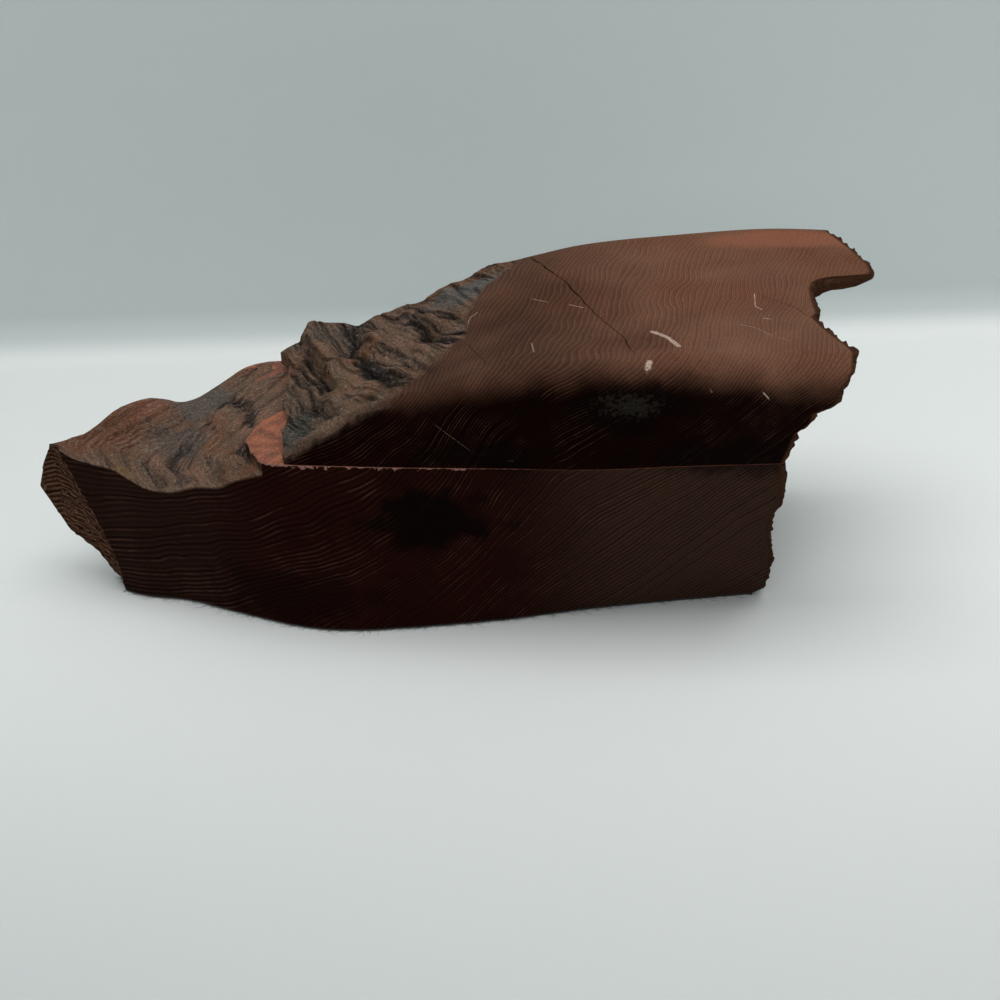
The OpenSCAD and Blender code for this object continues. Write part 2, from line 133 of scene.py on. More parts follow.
# Heights, [x, z]
TOP_FRONT = [
    (-62, 66), (-52, 69.5), (-36, 80), (-22, 88), (-5, 93), (17, 99.5), (50, 103), (84, 104.3), (155, 104),
]
TOP_MID = [
    (-62, 66.5), (-50, 71.5), (-40, 77), (-30, 82), (-20, 86.5), (-10, 90.5), (0, 94.5), (20, 100),
    (50, 104.3), (84, 106.8), (130, 107), (155, 105.5),
]
TOP_BACK = [
    (-67, 69), (-61, 73), (-57, 75), (-53, 80), (-44, 81), (-34, 79), (-25, 83.5), (-18, 83), (-11, 87),
    (-1, 91), (10, 96), (20, 101), (43, 106.8), (58, 109), (82, 110.6), (119, 112), (146, 110.4), (155, 109),
]
TOP_ROWS = (-45.0, 0.0, 50.0)
BROW_R = [(-62, 0.8), (-36, 2), (-10, 5), (10, 9), (140, 10)]
BACK_R = 4.0
GROUND_FRONT = [
    (-146, 56), (-140, 53), (-125, 51.3), (-117, 46.4), (-107, 45.7), (-94, 50), (-84, 52.2), (-75, 56.9),
    (-66, 60.3), (-58, 63),
]
GROUND_BACK = [
    (-150, 53), (-134, 55.5), (-129, 58), (-124, 61), (-114, 61.5), (-107, 59.5),
    (-101, 57.2), (-95, 57.2), (-88, 60), (-80, 63.2), (-58, 64.5),
]
SAWN_LEFT = [
    (-40, -64), (-30, -69), (-20, -72), (-4, -68), (5, -61), (33, -59.5), (45, -60.5), (49, -58), (55, -58),
]
LID_LEFT = [
    (-41, -56), (-20, -58), (-7, -58), (5, -60), (20, -60.5), (33, -60), (45, -63), (49, -66), (55, -67),
]
SANDED_LEFT = [(-50, -24), (-30, -8), (-11, 6), (24, 11), (51, 28)]

# Strokes that the weather carved, as (depth, half width, [x, y] in plan). A negative depth is a ridge.
LID_STROKES = [
    (1.9, 1.3, [(-13, 31), (-8, 17), (-3, 6), (1, -2), (7, -8)]),
    (1.9, 1.2, [(-9, 7), (-5, -1), (0, -9), (7, -16)]),
    (1.0, 1.0, [(-12, 36), (-6, 22), (-1, 13), (3, 9)]),
    (0.9, 0.9, [(-11, 4), (-6, -4), (-1, -14), (3, -20)]),
    (1.6, 3.0, [(-31, 4), (-27, -8), (-22, -22), (-15, -34), (-8, -43)]),
    (2.4, 1.7, [(-55, 34), (-52, 24), (-47, 14), (-43, 1), (-41, -3)]),
    (1.2, 1.0, [(-59, 24), (-56, 15), (-51, 4), (-48, -6), (-46, -18)]),
    (0.8, 1.0, [(-58, 15), (-55, 5), (-52, -6)]),
    (-1.7, 3.0, [(-40, 11), (-35, -6), (-31, -15), (-24, -33), (-17, -46)]),
    (-1.4, 2.6, [(-54, 41), (-48, 28), (-42, 11), (-38, -7), (-38, -17)]),
    (-1.2, 1.7, [(-25, 42), (-24, 23), (-20, 12), (-13, 1), (-6, -15), (2, -25)]),
    (-0.9, 1.2, [(-10, 22), (-5, 9), (1, -3), (6, -12)]),
    (1.6, 3.6, [(-37, 50), (-36, 35), (-37, 16)]),
    (1.3, 0.7, [(10, 34), (14, 22)]),
    (1.3, 0.7, [(20, 24), (23, 11)]),
    (1.2, 0.8, [(27, 40), (30, 33)]),
    (1.1, 2.2, [(-47, -10), (-43, -22), (-38, -32)]),
    (0.9, 1.0, [(-16, 46), (-14, 38), (-8, 30)]),
    (-0.9, 1.6, [(-2, 44), (2, 28), (8, 12)]),
    (0.9, 1.0, [(2, 46), (6, 30), (10, 18)]),
    (1.4, 0.75, [(-32, 14), (-27, 2), (-20, -9), (-12, -18)]),
    (1.4, 0.75, [(-34, 8), (-29, -4), (-22, -16), (-14, -28)]),
    (1.3, 0.75, [(-32, -2), (-27, -12), (-20, -26), (-12, -38)]),
    (1.1, 0.7, [(-30, -8), (-25, -18), (-18, -33)]),
    (1.3, 0.7, [(-15, 26), (-10, 13), (-5, 2), (0, -6), (6, -12)]),
    (1.1, 0.7, [(-57, 28), (-53, 18), (-49, 8), (-45, -4)]),
]
BASE_STROKES = [
    (2.4, 1.8, [(-87, 30), (-83, 26), (-78, 22), (-74, 14), (-73, 5)]),
    (2.4, 2.0, [(-79, -13), (-73, -17), (-67, -29)]),
    (1.1, 0.8, [(-125, 4), (-123, 8), (-120, 12), (-117, 15), (-112, 17)]),
    (0.9, 1.5, [(-118, 8), (-115, 12), (-109, 12)]),
    (2.0, 2.3, [(-97, 2), (-101, 0), (-102, -6), (-99, -13), (-94, -20)]),
    (1.3, 1.3, [(-112, -4), (-110, -8), (-107, -12), (-103, -17)]),
    (1.2, 1.3, [(-88, -10), (-85, -14), (-80, -24)]),
    (-1.3, 1.6, [(-110, -1), (-105, 3), (-101, 6), (-96, 10)]),
    (-1.6, 1.8, [(-94, -15), (-91, -9), (-87, -4), (-84, 2), (-79, 5)]),
    (-1.0, 1.8, [(-126, 2), (-123, -6), (-119, -10), (-113, -12)]),
    (-2.0, 4.5, [(-121, 20), (-114, 25), (-107, 27)]),
    (1.3, 0.9, [(-115, 16), (-111, 20), (-105, 27)]),
    (0.8, 0.9, [(-106, 13), (-100, 13), (-96, 13)]),
    (-1.2, 2.0, [(-106, -6), (-102, -12), (-98, -17)]),
    (-1.0, 1.6, [(-84, -6), (-80, -12), (-76, -22)]),
    (1.0, 1.4, [(-93, 24), (-90, 14), (-86, 10)]),
    (-0.9, 1.8, [(-96, 32), (-92, 20), (-84, 14)]),
]

# Weathering: how wide the folds, flakes and creases are, how round the folds turn, and over how much of the
# lid's length and of the ground's depth the ridges fade out
SANDED_FADE = 12.0
GROUND_FADE = 0.125
FOLD_PITCH = 8.6
FLAKE_PITCH = 2.9
CREASE_W = 0.8
FULL_CREASE = 1.5
FOLD_ROUND = 4.0
TOOTH_PITCH = 2.4
STRIPE_PITCH = 1.15
SPLIT_PITCH = 2.5

# Where the relief dies away: at the front and back edges as a share of the depth, and towards the sawn rim,
# the seam, the foot and the lid's thin end. The left tip is blunt at (height, reach, depth), the torn ends
# stand back by so much, and the seam's edge is worn.
EDGE_SHARE = 0.03
LID_FRONT_SHARE = 0.12
SAWN_FADE = 2.5
SEAM_FADE = 6.0
FOOT_FADE = 8.0
THIN_FADE = 5.0
BLUNT = ((38, 6, 2.4), (53, 5, -0.4))
TORN_LEFT = 0.7
TORN_RIGHT = 0.3
TORN_LID = 0.4
WEAR = 0.25
WEAR_REACH = 0.5

# Marks keep so far off the front and back faces, and fade in over the second length
FACE_CLEAR = 2.0
FACE_FADE = 1.5

# Growth rings: a sloping field that bends at the left, steps once and is pushed up at the knots
RING_RISE = 0.77
RING_LEAN = 0.64
RING_DEPTH = 0.18
RING_BEND_X = 62.0
RING_BEND = 32.0
RING_STEP_X = 5.0
RING_STEP_REACH = 18.0
RING_STEP = 12.0
RING_HILLS = [((-8, -46, 42), 21.0, 8.0), ((76, -48, 96), 28.0, 8.0)]
RING_WANDER = ((45, 11.0), (15, 1.5), (5, 0.22))
RING_PITCH = 1.55
LID_RINGS = 1.35

# Lattices of the blocks: steps along, the share of the length that the first part of them covers and how
# large that part is, then the steps across and the points up
BASE_LATTICE = (290, 0.36, 0.6, 140, 61)
LID_LATTICE = (270, 0.46, 0.62, 150, 45)

# Cutters reach from the first to the last X and so far past the wood. The base's bevel starts a bit early.
CUT_X = (-58.0, 250.0)
END_GAP = 0.5
FAR = 40.0
OVER_SEAT = 1.0
OVER_HOLLOW = 5.0
STRIP_X = -200.0
STRIP_Z = (60.0, 120.0)

# Shading: faces that meet more sharply than this show an edge, and a cut face may lie so far off its cutter
SHARP_EDGE = radians(38)
CUT_MARGIN = 0.05

# Cracks in the lid: [x, y] in plan, width, depth, seed
CRACKS = [
    ([(31, 51.5), (43, 22), (52.5, -12), (60, -34), (63, -51)], 0.75, 6, 1),
    ([(124, -27), (120.5, -17.6), (113.7, -9.8), (106.6, -3)], 0.35, 3, 2),
    ([(7, -17), (11, -31), (16, -45)], 0.35, 2, 3),
]
CRACK_STEP = 2.0
CRACK_OVER = 0.8
CRACK_TAPER = 3
CRACK_WANDER = 0.55

# Felt: how far its edge stands back and wanders, a lining's nap with its height, size and rows, and the
# loose hairs
FELT_INSET = 0.4
FELT_RIPPLE = 0.18
FELT_SEED = 7.0
NAP = 0.12
NAP_SIZE = 6
FLAT_ROWS = 26
WALL_ROWS = 22
HAIRS = 1500

# Stage and camera. The camera's place is in metres and its turns in degrees.
WALL_Y = 235.0
SWEEP_R = 20.0
SWEEP_STEPS = 12
WALL_TOP = 1400.0
STAGE_HALF = 6000.0
FLOOR_DROP = 0.01
FOCAL_PIXELS = 1657.0
FRAME_PIXELS = 1000.0
SENSOR = 36.0
CAMERA_AT = (0.017, -0.550, 0.3077)
CAMERA_TILT = 63.0
CAMERA_ROLL = -2.0

# Pale scratches and dents on the lid: from, to, width and strength
SCRATCHES = [
    ((31, 10, 102.5), (36.4, 4.8, 103), 0.3, 0.6), ((43.8, -0.3, 103.7), (48.4, -4.6, 104), 0.35, 0.7),
    ((29.4, -29.7, 101.4), (30, -38, 101.5), 0.3, 0.6), ((20.2, -43, 100.1), (21.8, -51, 98.4), 0.3, 0.55),
    ((108.1, -4.4, 106.9), (106.8, -15, 106.2), 0.35, 0.8),
    ((106.8, -15, 106.2), (108.6, -18, 106), 0.4, 0.8),
    ((108, -25, 105.6), (110.4, -25.9, 105.5), 0.4, 0.6),
    ((99.7, -29.4, 105.3), (104.2, -32.4, 105.2), 0.25, 0.4),
    ((104.6, -33, 105.2), (109, -39.5, 104.7), 0.25, 0.35),
    ((110, -40.2, 104.6), (116, -45, 104.5), 0.2, 0.3),
    ((102.6, -61, 94.2), (105.2, -60.4, 91), 0.45, 0.8), ((85.6, -60.1, 96), (86.3, -60.4, 94.5), 0.4, 0.5),
    ((70, -31.5, 104.6), (74.3, -36.6, 104.6), 1.6, 0.8),
    ((74.3, -36.6, 104.6), (77.3, -44.3, 104.4), 1.5, 0.8),
    ((65.6, -57, 100.6), (63.5, -59, 95.8), 0.35, 0.6), ((66.8, -54, 102.8), (66, -56, 101.8), 1.9, 0.85),
    ((11.3, 7.9, 98.9), (8.6, 5.5, 98), 0.35, 0.7), ((8.6, 5.5, 98), (7.2, -3.5, 97.2), 0.3, 0.6),
    ((-13.2, -47.6, 89.9), (-3.6, -49.9, 81.6), 0.2, 0.22),
    ((-3.6, -49.9, 81.6), (8.4, -50.6, 71.3), 0.2, 0.2),
    ((12, -50.9, 68.6), (22, -51.9, 68.2), 0.25, 0.4), ((9, -50.8, 69.4), (12.6, -51.1, 70.8), 0.3, 0.3),
]

# Dark stains and the knot: centre, radii, raggedness, strength
STAINS = [
    ((-8, -47, 44), (24, 14, 13), 0.45, 0.85),
    ((60, -58, 90), (19, 9, 9), 0.5, 0.75),
    ((104, -57, 68), (44, 12, 9), 0.4, 0.6),
    ((12, -51, 70), (26, 9, 6), 0.5, 0.6),
    ((-60, -38, 14), (40, 20, 12), 0.5, 0.5),
]

# Coloured patches of the crust: centre, radii, colour, strength. The two near-black blue-grey ones are
# painted shade in the deepest grooves.
CRUST_PATCHES = [
    ((-52, -22, 70), (8, 20, 6), "#48504a", 0.85),
    ((-38, -8, 79), (9, 10, 6), "#6f5a3a", 0.45),
    ((-50, 18, 75), (8, 8, 6), "#735a38", 0.45),
    ((-20, -34, 88), (12, 10, 6), "#5c5340", 0.5),
    ((8, 33, 98), (19, 13, 10), "#6a7171", 0.75),
    ((-40, 42, 80), (16, 10, 8), "#5e5b55", 0.6),
    ((-128, 8, 56), (23, 14, 8), "#855a44", 0.8),
    ((-95, 30, 58), (15, 10, 8), "#6b6a66", 0.75),
    ((-117, 24, 61), (13, 9, 7), "#97644e", 0.85),
    ((-74, -14, 60), (6, 6, 5), "#22272a", 0.85),
    ((-58, 34, 70), (9, 12, 8), "#7a5240", 0.5),
    ((-101, 6, 55), (15, 12, 8), "#625b57", 0.7),
    ((-88, 6, 58), (8, 12, 6), "#8a5f4c", 0.5),
    ((-118, -13, 50), (6, 4, 5), "#8d7350", 0.7),
    ((-81, 24, 61), (8, 3, 4), "#24272a", 0.7),
]


def mix(a, b, k):
    return a + (b - a) * k


def ease(k):
    c = np.clip(k, 0, 1)
    return c * c * (3 - 2 * c)


def lookup(x, points):
    """Straight lines between points, held level past both ends."""
    return np.interp(x, [p[0] for p in points], [p[1] for p in points])


def hermite(k, width, a, b, slope_a, slope_b):
    rise = a * (1 + 2 * k) * (1 - k) ** 2 + slope_a * width * k * (1 - k) ** 2
    return rise + b * k * k * (3 - 2 * k) - slope_b * width * k * k * (1 - k)


def curve(points, x):
    """Smooth curve through points, held level past both ends."""
    px, py = np.array(points, float).T
    c = np.clip(x, px[0], px[-1])
    i = np.clip(np.searchsorted(px, c, side="right") - 1, 0, len(px) - 2)
    slope = np.empty(len(px))
    slope[1:-1] = (py[2:] - py[:-2]) / (px[2:] - px[:-2])
    slope[0] = (py[1] - py[0]) / (px[1] - px[0])
    slope[-1] = (py[-1] - py[-2]) / (px[-1] - px[-2])
    width = px[i + 1] - px[i]
    return hermite((c - px[i]) / width, width, py[i], py[i + 1], slope[i], slope[i + 1])


def noise_at(points, size, seed, octaves=3):
    """Smooth noise from about -1 to 1, with features of that size in millimetres."""
    shift = Vector((seed * 17.3, seed * 9.1, seed * 5.7))
    flat = points.reshape(-1, 3) / size
    found = [noise.fractal(Vector(p) + shift, 1.0, 2.0, octaves) for p in flat]
    return np.array(found).reshape(points.shape[:-1])


def line_distance(x, y, points):
    """Distance in plan from each place to a broken line."""
    best = np.full(np.shape(x), 1e9)
    for (ax, ay), (bx, by) in zip(points, points[1:]):
        dx, dy = bx - ax, by - ay
        k = np.clip(((x - ax) * dx + (y - ay) * dy) / (dx * dx + dy * dy), 0, 1)
        best = np.minimum(best, np.hypot(x - ax - k * dx, y - ay - k * dy))
    return best


# The block's own form
def front_y(x, z):
    low = mix(curve(FRONT_FOOT, x), curve(FRONT_SEAM, x), z / DRAWN_SEAM)
    k = np.clip((z - DRAWN_SEAM) / (BROW_Z - DRAWN_SEAM), 0, 1)
    return np.where(z < DRAWN_SEAM, low, mix(curve(FRONT_SEAM, x), curve(FRONT_BROW, x), k))


def back_y(x, z):
    k = np.clip(z / DRAWN_SEAM, 0, 1)
    return mix(curve(BACK_FOOT, x), curve(BACK_SEAM, x), k) + BACK_SWELL * np.sin(pi * k)


def base_x(s, t, z):
    left = mix(lookup(z, LEFT_EDGE), lookup(z, LEFT_TIP), t)
    return mix(left, mix(lookup(z, RIGHT_EDGE), lookup(z, RIGHT_BACK), t), s)


def between_faces(x, t, z):
    return mix(front_y(x, z), back_y(x, z), t)


def lid_end_x(y, z):
    front = front_y(END_X, z)
    t = np.clip((y - front) / (BACK_LINE - front), 0, 1)
    foot = mix(lookup(DRAWN_SEAM, RIGHT_EDGE), lookup(DRAWN_SEAM, RIGHT_BACK), t)
    rise = mix(lookup(z, BROW_RISE), lookup(z, LIP_RISE), ease((y - LIP_Y) / LIP_BLEND))
    return mix(foot, lookup(y, RIGHT_TOP), rise)


def lid_y(s, t, z):
    x = mix(LID_LEFT[0][1], mix(LID_END_LOW, LID_END_HIGH, lookup(z, BROW_RISE)), s)
    return between_faces(x, t, z)


def lid_x(s, t, z):
    y = lid_y(s, t, z)
    return mix(lookup(y, LID_LEFT), lid_end_x(y, z), s)


def ridged(main, x, y):
    return RIDGE_H * mix(main, np.sin(2 * pi * (x - SLANT * y) / SLANT_PITCH), SLANT_SHARE)


def chevrons(x, y):
    return ridged(np.sin(2 * pi * (x - 0.8 * np.abs(y + 6)) / RIDGE_PITCH), x, y)


def ledges(x, y):
    return ridged(np.sin(2 * pi * (x + FLOW_SLANT * y + 15.7) / RIDGE_PITCH), x, y)


def weathered(x, y):
    return 1 - ease((x - lookup(y, SANDED_LEFT)) / SANDED_FADE + 1)


def ground(x, y, t):
    slope = mix(curve(GROUND_FRONT, x), curve(GROUND_BACK, x), t)
    fade = np.clip(np.minimum(t, 1 - t) / GROUND_FADE, 0, 1)
    low = np.minimum(DRAWN_SEAM - GROUND_STEP, slope + chevrons(x, y) * fade)
    return np.where(x > lookup(y, SAWN_LEFT), DRAWN_SEAM, low)


def top(x, y):
    a, b, c = curve(TOP_FRONT, x), curve(TOP_MID, x), curve(TOP_BACK, x)
    y0, y1, y2 = TOP_ROWS
    at = np.clip(y, y0, y2)
    middle = (c - a) / (y2 - y0)
    near = hermite((at - y0) / (y1 - y0), y1 - y0, a, b, (b - a) / (y1 - y0), middle)
    far = hermite((at - y1) / (y2 - y1), y2 - y1, b, c, middle, (c - b) / (y2 - y1))
    fade = weathered(x, y) * np.clip((x + 64) / 14, 0, 1)
    return np.where(at < y1, near, far) + ledges(x, y) * fade


def edge_drop(d, r):
    return np.where(d >= r, 0, r - np.sqrt(np.maximum(0, r * r - (r - d) ** 2)))


def lid_top(x, y, t):
    depth = BACK_LINE - front_y(x, BROW_Z)
    drop = edge_drop(t * depth, curve(BROW_R, x)) + edge_drop((1 - t) * depth, BACK_R)
    return np.maximum(DRAWN_SEAM + LID_LEAST, top(x, y) - drop)


def base_point(s, t, w):
    x1 = base_x(s, t, DRAWN_SEAM)
    z = w * ground(x1, between_faces(x1, t, DRAWN_SEAM), t)
    x = base_x(s, t, z)
    real_z = FELT_T + z * (SEAM_Z - FELT_T) / DRAWN_SEAM
    return np.stack([x, between_faces(x, t, z), real_z], axis=-1)


def lid_point(s, t, w):
    y1 = lid_y(s, t, TOP_PLAN_Z)
    z = mix(DRAWN_SEAM, lid_top(lid_x(s, t, TOP_PLAN_Z), y1, t), w)
    real_z = LID_Z + (z - DRAWN_SEAM) * (LID_H - SEAM_GAP) / DRAWN_LID
    return np.stack([lid_x(s, t, z), lid_y(s, t, z), real_z], axis=-1)


# What the weather, the breaks and the growth rings add to it
def square(v):
    return v * v


def ring_height(x, y, z, calc):
    """The growth ring that a place lies in, in millimetres across the rings. calc is numpy or a Paint."""
    u = x + RING_BEND_X
    right = 0.5 * (u + calc.sqrt(square(u) + RING_BEND ** 2))
    field = RING_RISE * z - RING_LEAN * right + RING_DEPTH * y
    field = field - RING_STEP / 2 * calc.tanh((x - RING_STEP_X) / RING_STEP_REACH)
    for (cx, cy, cz), reach, height in RING_HILLS:
        d2 = (square(x - cx) + square(y - cy) + square(z - cz)) / (2 * reach * reach)
        field = field + height * calc.exp(-1.0 * d2)
    return field


def ledge(q):
    """A flake of 1 in q: its back sinks slowly from 0 to 1, and its edge stands up sharply."""
    k = q % 1
    return k ** 1.4 * (1 - ease((k - 0.86) / 0.14))


def crevice(q):
    """Painted shade: dark line in front of each flake's edge."""
    k = q % 1
    return ease((k - 0.62) / 0.22) * (1 - ease((k - 0.92) / 0.08))


def slope_relief(p, strokes, flow_of, fold, flaky):
    """How far the weather has cut in, how dark its crevices are painted as shade and how deep a place lies
    in the folds.
    """
    x, y, z = p.T
    flow = flow_of(x, y)
    lengthways = np.stack([flow / 11, y / 30, z / 40], axis=-1)
    wide = noise_at(lengthways, 1, 1, 2)
    small = noise_at(np.stack([flow / 3.5, y / 10, z / 20], axis=-1), 1, 2, 2)
    q = flow + 1.7 * wide + 0.6 * small
    patch = np.clip(0.62 + 1.1 * noise_at(lengthways * 1.7, 1, 3, 2), 0.12, 1)
    some = flaky * np.clip(1.6 * noise_at(lengthways * 1.3, 1, 9, 2) + 0.5, 0, 1)
    fold_at = q / FOLD_PITCH + 0.12 * wide
    flake_at = q / FLAKE_PITCH + 0.3 * small
    folds = ledge(fold_at)
    flakes = ledge(flake_at)
    cut = 0.65 * fold * patch * folds + 0.42 * some * flakes + 0.14 * noise_at(p, 1.8, 5, 2)
    crease = np.maximum(0.75 * patch * crevice(fold_at), 0.6 * some * crevice(flake_at))
    hollow = 0.55 * folds + 0.3 * some * flakes + 0.2 * patch
    for depth, half, line in strokes:
        far = line_distance(x + 0.7 * small, y + 0.7 * wide, line)
        near = np.exp(-square(far / half))
        cut = cut + depth * fold * near
        hollow = hollow + 0.35 * depth * near
        if depth > 0:
            crease = np.maximum(crease, min(1, depth / FULL_CREASE) * np.exp(-square(far / CREASE_W)))
    return cut, crease, np.clip(hollow, 0, 1)


def lid_flow(x, y):
    return x + FLOW_SLANT * y


def beside_fold(x, y):
    """How far a place on the base lies beside the line on which its folds turn."""
    return y + 1 + 0.32 * (x + 123)


def base_flow(x, y):
    return x - lookup(x, [(-120, 0.9), (-88, 0.55)]) * np.sqrt(square(beside_fold(x, y)) + FOLD_ROUND)


def lid_weather(p):
    return slope_relief(p, LID_STROKES, lid_flow, 1.05, 1.0)


def base_weather(p):
    return slope_relief(p, BASE_STROKES, base_flow, 0.55, 0.35)


def break_relief(p, steps):
    """A torn end: ring ledges and splinters."""
    rings = ring_height(*p.T, np) + 1.2 * noise_at(p, 9, 6)
    torn = 0.9 * (ledge(rings / TOOTH_PITCH) - 0.4) + 0.5 * noise_at(p, 4, 7)
    return torn + steps * np.abs(noise_at(p, 8, 8))


# Meshes
def placed(name, data):
    """A new object in the scene."""
    made = bpy.data.objects.new(name, data)
    bpy.context.scene.collection.objects.link(made)
    return made


def read(items, name):
    """A vector of each vertex or face."""
    found = np.empty(len(items) * 3)
    items.foreach_get(name, found)
    return found.reshape(-1, 3)


def new_object(name, points, faces):
    mesh = bpy.data.meshes.new(name)
    mesh.from_pydata([tuple(np.array(p) * MM) for p in points], [], faces)
    mesh.update()
    return placed(name, mesh)


def skin(name, rings, closed=False):
    """Closed skin over rings of points, capped at both ends, or else joined end to end."""
    n, count = len(rings[0]), len(rings)
    faces = [] if closed else [tuple(range(n))[::-1], tuple(range((count - 1) * n, count * n))]
    for k in range(count if closed else count - 1):
        for i in range(n):
            j, far = (i + 1) % n, (k + 1) % count
            faces.append((k * n + i, k * n + j, far * n + j, far * n + i))
    return new_object(name, [p for ring in rings for p in ring], faces)


def prism(name, outline, z0, z1):
    """Upright prism over an outline in plan that runs anticlockwise."""
    return skin(name, [[(x, y, z) for x, y in outline] for z in (z0, z1)])


def bar(name, x0, x1, profile):
    """Prism along X from a profile in Y and Z that runs anticlockwise seen from +X."""
    return skin(name, [[(x, y, z) for y, z in profile] for x in (x0, x1)])


def round_bar(name, x0, x1, r, steps=32):
    turn = [2 * pi * i / steps for i in range(steps)]
    return bar(name, x0, x1, [(AXIS_Y + r * cos(a), AXIS_Z + r * sin(a)) for a in turn])


def rounded(low, high, r, steps=10):
    """Rectangle in plan with round corners, anticlockwise."""
    corners = [(high[0] - r, high[1] - r, 0), (low[0] + r, high[1] - r, 90),
               (low[0] + r, low[1] + r, 180), (high[0] - r, low[1] + r, 270)]
    turns = [90 * i / steps for i in range(steps + 1)]
    return [(x + r * cos(radians(a + b)), y + r * sin(radians(a + b))) for x, y, a in corners for b in turns]


def block_mesh(name, point, s, t, w, relief):
    """Closed skin of a block over a lattice. Its foot is one flat face."""
    ni, nj, nk = len(s) - 1, len(t) - 1, len(w) - 1
    on_skin = np.zeros((ni + 1, nj + 1, nk + 1), bool)
    on_skin[[0, ni]] = True
    on_skin[:, [0, nj]] = True
    on_skin[:, :, nk] = True
    ids = np.full(on_skin.shape, -1)
    ids[on_skin] = np.arange(on_skin.sum())
    i, j, k = np.nonzero(on_skin)
    places = point(s[i], t[j], w[k])
    faces = []
    sides = [(ids[:, :, nk], False), (ids[:, 0], False), (ids[:, nj], True), (ids[0], True),
             (ids[ni], False)]
    for grid, flip in sides:
        a, b, c, d = grid[:-1, :-1], grid[1:, :-1], grid[1:, 1:], grid[:-1, 1:]
        order = (a, d, c, b) if flip else (a, b, c, d)
        faces.extend(np.stack(order, axis=-1).reshape(-1, 4).tolist())
    foot = [*ids[:, 0, 0], *ids[ni, 1:, 0], *ids[ni - 1::-1, nj, 0], *ids[0, nj - 1:0:-1, 0]]
    faces.append([int(v) for v in foot[::-1]])
    mesh = bpy.data.meshes.new(name)
    mesh.from_pydata(places.tolist(), [], faces)
    mesh.update()
    places = relief(places, read(mesh.vertices, "normal"), s[i], t[j], w[k])
    mesh.vertices.foreach_set("co", (places * MM).ravel())
    mesh.update()
    return placed(name, mesh)


def pushed(p, n, move, level):
    """Points moved along their normals, and only sideways where level is true."""
    flat = n.copy()
    flat[:, 2] *= ~level
    return p + flat * move[:, None]


def base_relief(p, n, s, t, w):
    """Weathered top, ridged left facet and torn right end of the base."""
    x, y, z = p.T
    inside = np.clip(np.minimum(t, 1 - t) / EDGE_SHARE, 0, 1)
    step = np.clip((lookup(y, SAWN_LEFT) - x) / SAWN_FADE, 0, 1)
    move = np.where((w == 1) & (step > 0), -base_weather(p)[0] * step * (0.25 + 0.75 * inside), 0.0)
    torn = break_relief(p, 1.0)
    blunt = sum(depth * np.exp(-square((z - at) / reach)) for at, reach, depth in BLUNT)
    low = ease(z / FOOT_FADE)
    seam = ease((SEAM_Z - z) / SEAM_FADE)
    move = move + np.where(s == 0, (torn - TORN_LEFT - blunt) * low, 0)
    move = move + np.where(s == 1, (torn - TORN_RIGHT) * low * (0.3 + 0.7 * seam), 0)
    worn = np.exp(-square((SEAM_Z - z) / WEAR_REACH)) * (t == 0) * (w < 1)
    return pushed(p, n, move - WEAR * worn, (w == 0) | (z > SEAM_Z - 0.01))


def lid_relief(p, n, s, t, w):
    """Weathered slope and torn right end of the lid."""
    x, y, z = p.T
    fade = weathered(x, y) * np.clip((x + 66) / 6, 0, 1)
    thin = np.clip((z - LID_Z - LID_LEAST) / THIN_FADE, 0.0, 1)
    inside = np.clip(np.minimum(t / LID_FRONT_SHARE, (1 - t) / EDGE_SHARE), 0.2, 1)
    move = np.where(w == 1, -lid_weather(p)[0] * fade * thin * inside, 0.0)
    seam = ease((z - LID_Z) / SEAM_FADE)
    move = move + np.where(s == 1, (break_relief(p, 1.7) - TORN_LID) * (0.25 + 0.75 * seam), 0)
    move = move + np.where((s == 0) & (t > 0.02) & (t < 0.85), 1.3 * noise_at(p, 7, 11, 2), 0)
    return pushed(p, n, move, w == 0)


def crack(piece, line, width, depth, seed):
    """Wedge that cuts a ragged crack into the piece's top along a line of [x, y] points."""
    plan = []
    for a, b in zip(line, line[1:]):
        a, b = np.array(a, float), np.array(b, float)
        count = max(2, int(np.linalg.norm(b - a) / CRACK_STEP))
        plan += [mix(a, b, i / count) for i in range(count)]
    plan.append(line[-1])
    bpy.context.view_layer.update()
    down = Vector((0, 0, -1))
    dense = [np.array(piece.ray_cast(Vector((*at, 2 * LID_TOP)) * MM, down)[1]) / MM for at in plan]
    n = len(dense)
    rings = []
    for i, p in enumerate(dense):
        ahead = dense[min(i + 1, n - 1)] - dense[max(i - 1, 0)]
        side = np.array([-ahead[1], ahead[0], 0.0])
        side /= np.linalg.norm(side)
        wander = noise.noise(Vector((i * 0.37, seed, 0.5)))
        uneven = 0.75 + 0.6 * noise.noise(Vector((i * 0.61, seed, 3.5)))
        share = min(1.0, (i + 0.15) / CRACK_TAPER, (n - 1 - i + 0.15) / CRACK_TAPER)
        half = width / 2 * share * uneven * mix(1.5, 0.5, i / n)
        middle = p + side * CRACK_WANDER * wander
        over = middle + (0, 0, CRACK_OVER)
        rings.append([over + side * half, over - side * half, middle - (0, 0, depth * share)])
    made = skin("crack", rings)
    shell = bmesh.new()
    shell.from_mesh(made.data)
    bmesh.ops.recalc_face_normals(shell, faces=shell.faces)
    shell.to_mesh(made.data)
    shell.free()
    return made


def cut(piece, cutters):
    """Takes the cutters out of the piece and deletes them."""
    for cutter in cutters:
        tool = piece.modifiers.new("cut", "BOOLEAN")
        tool.operation = "DIFFERENCE"
        tool.solver = "MANIFOLD"
        tool.object = cutter
    bpy.context.view_layer.update()
    graph = bpy.context.evaluated_depsgraph_get()
    made = bpy.data.meshes.new_from_object(piece.evaluated_get(graph))
    piece.modifiers.clear()
    old, piece.data = piece.data, made
    bpy.data.meshes.remove(old)
    for cutter in cutters:
        bpy.data.objects.remove(cutter)
    return piece


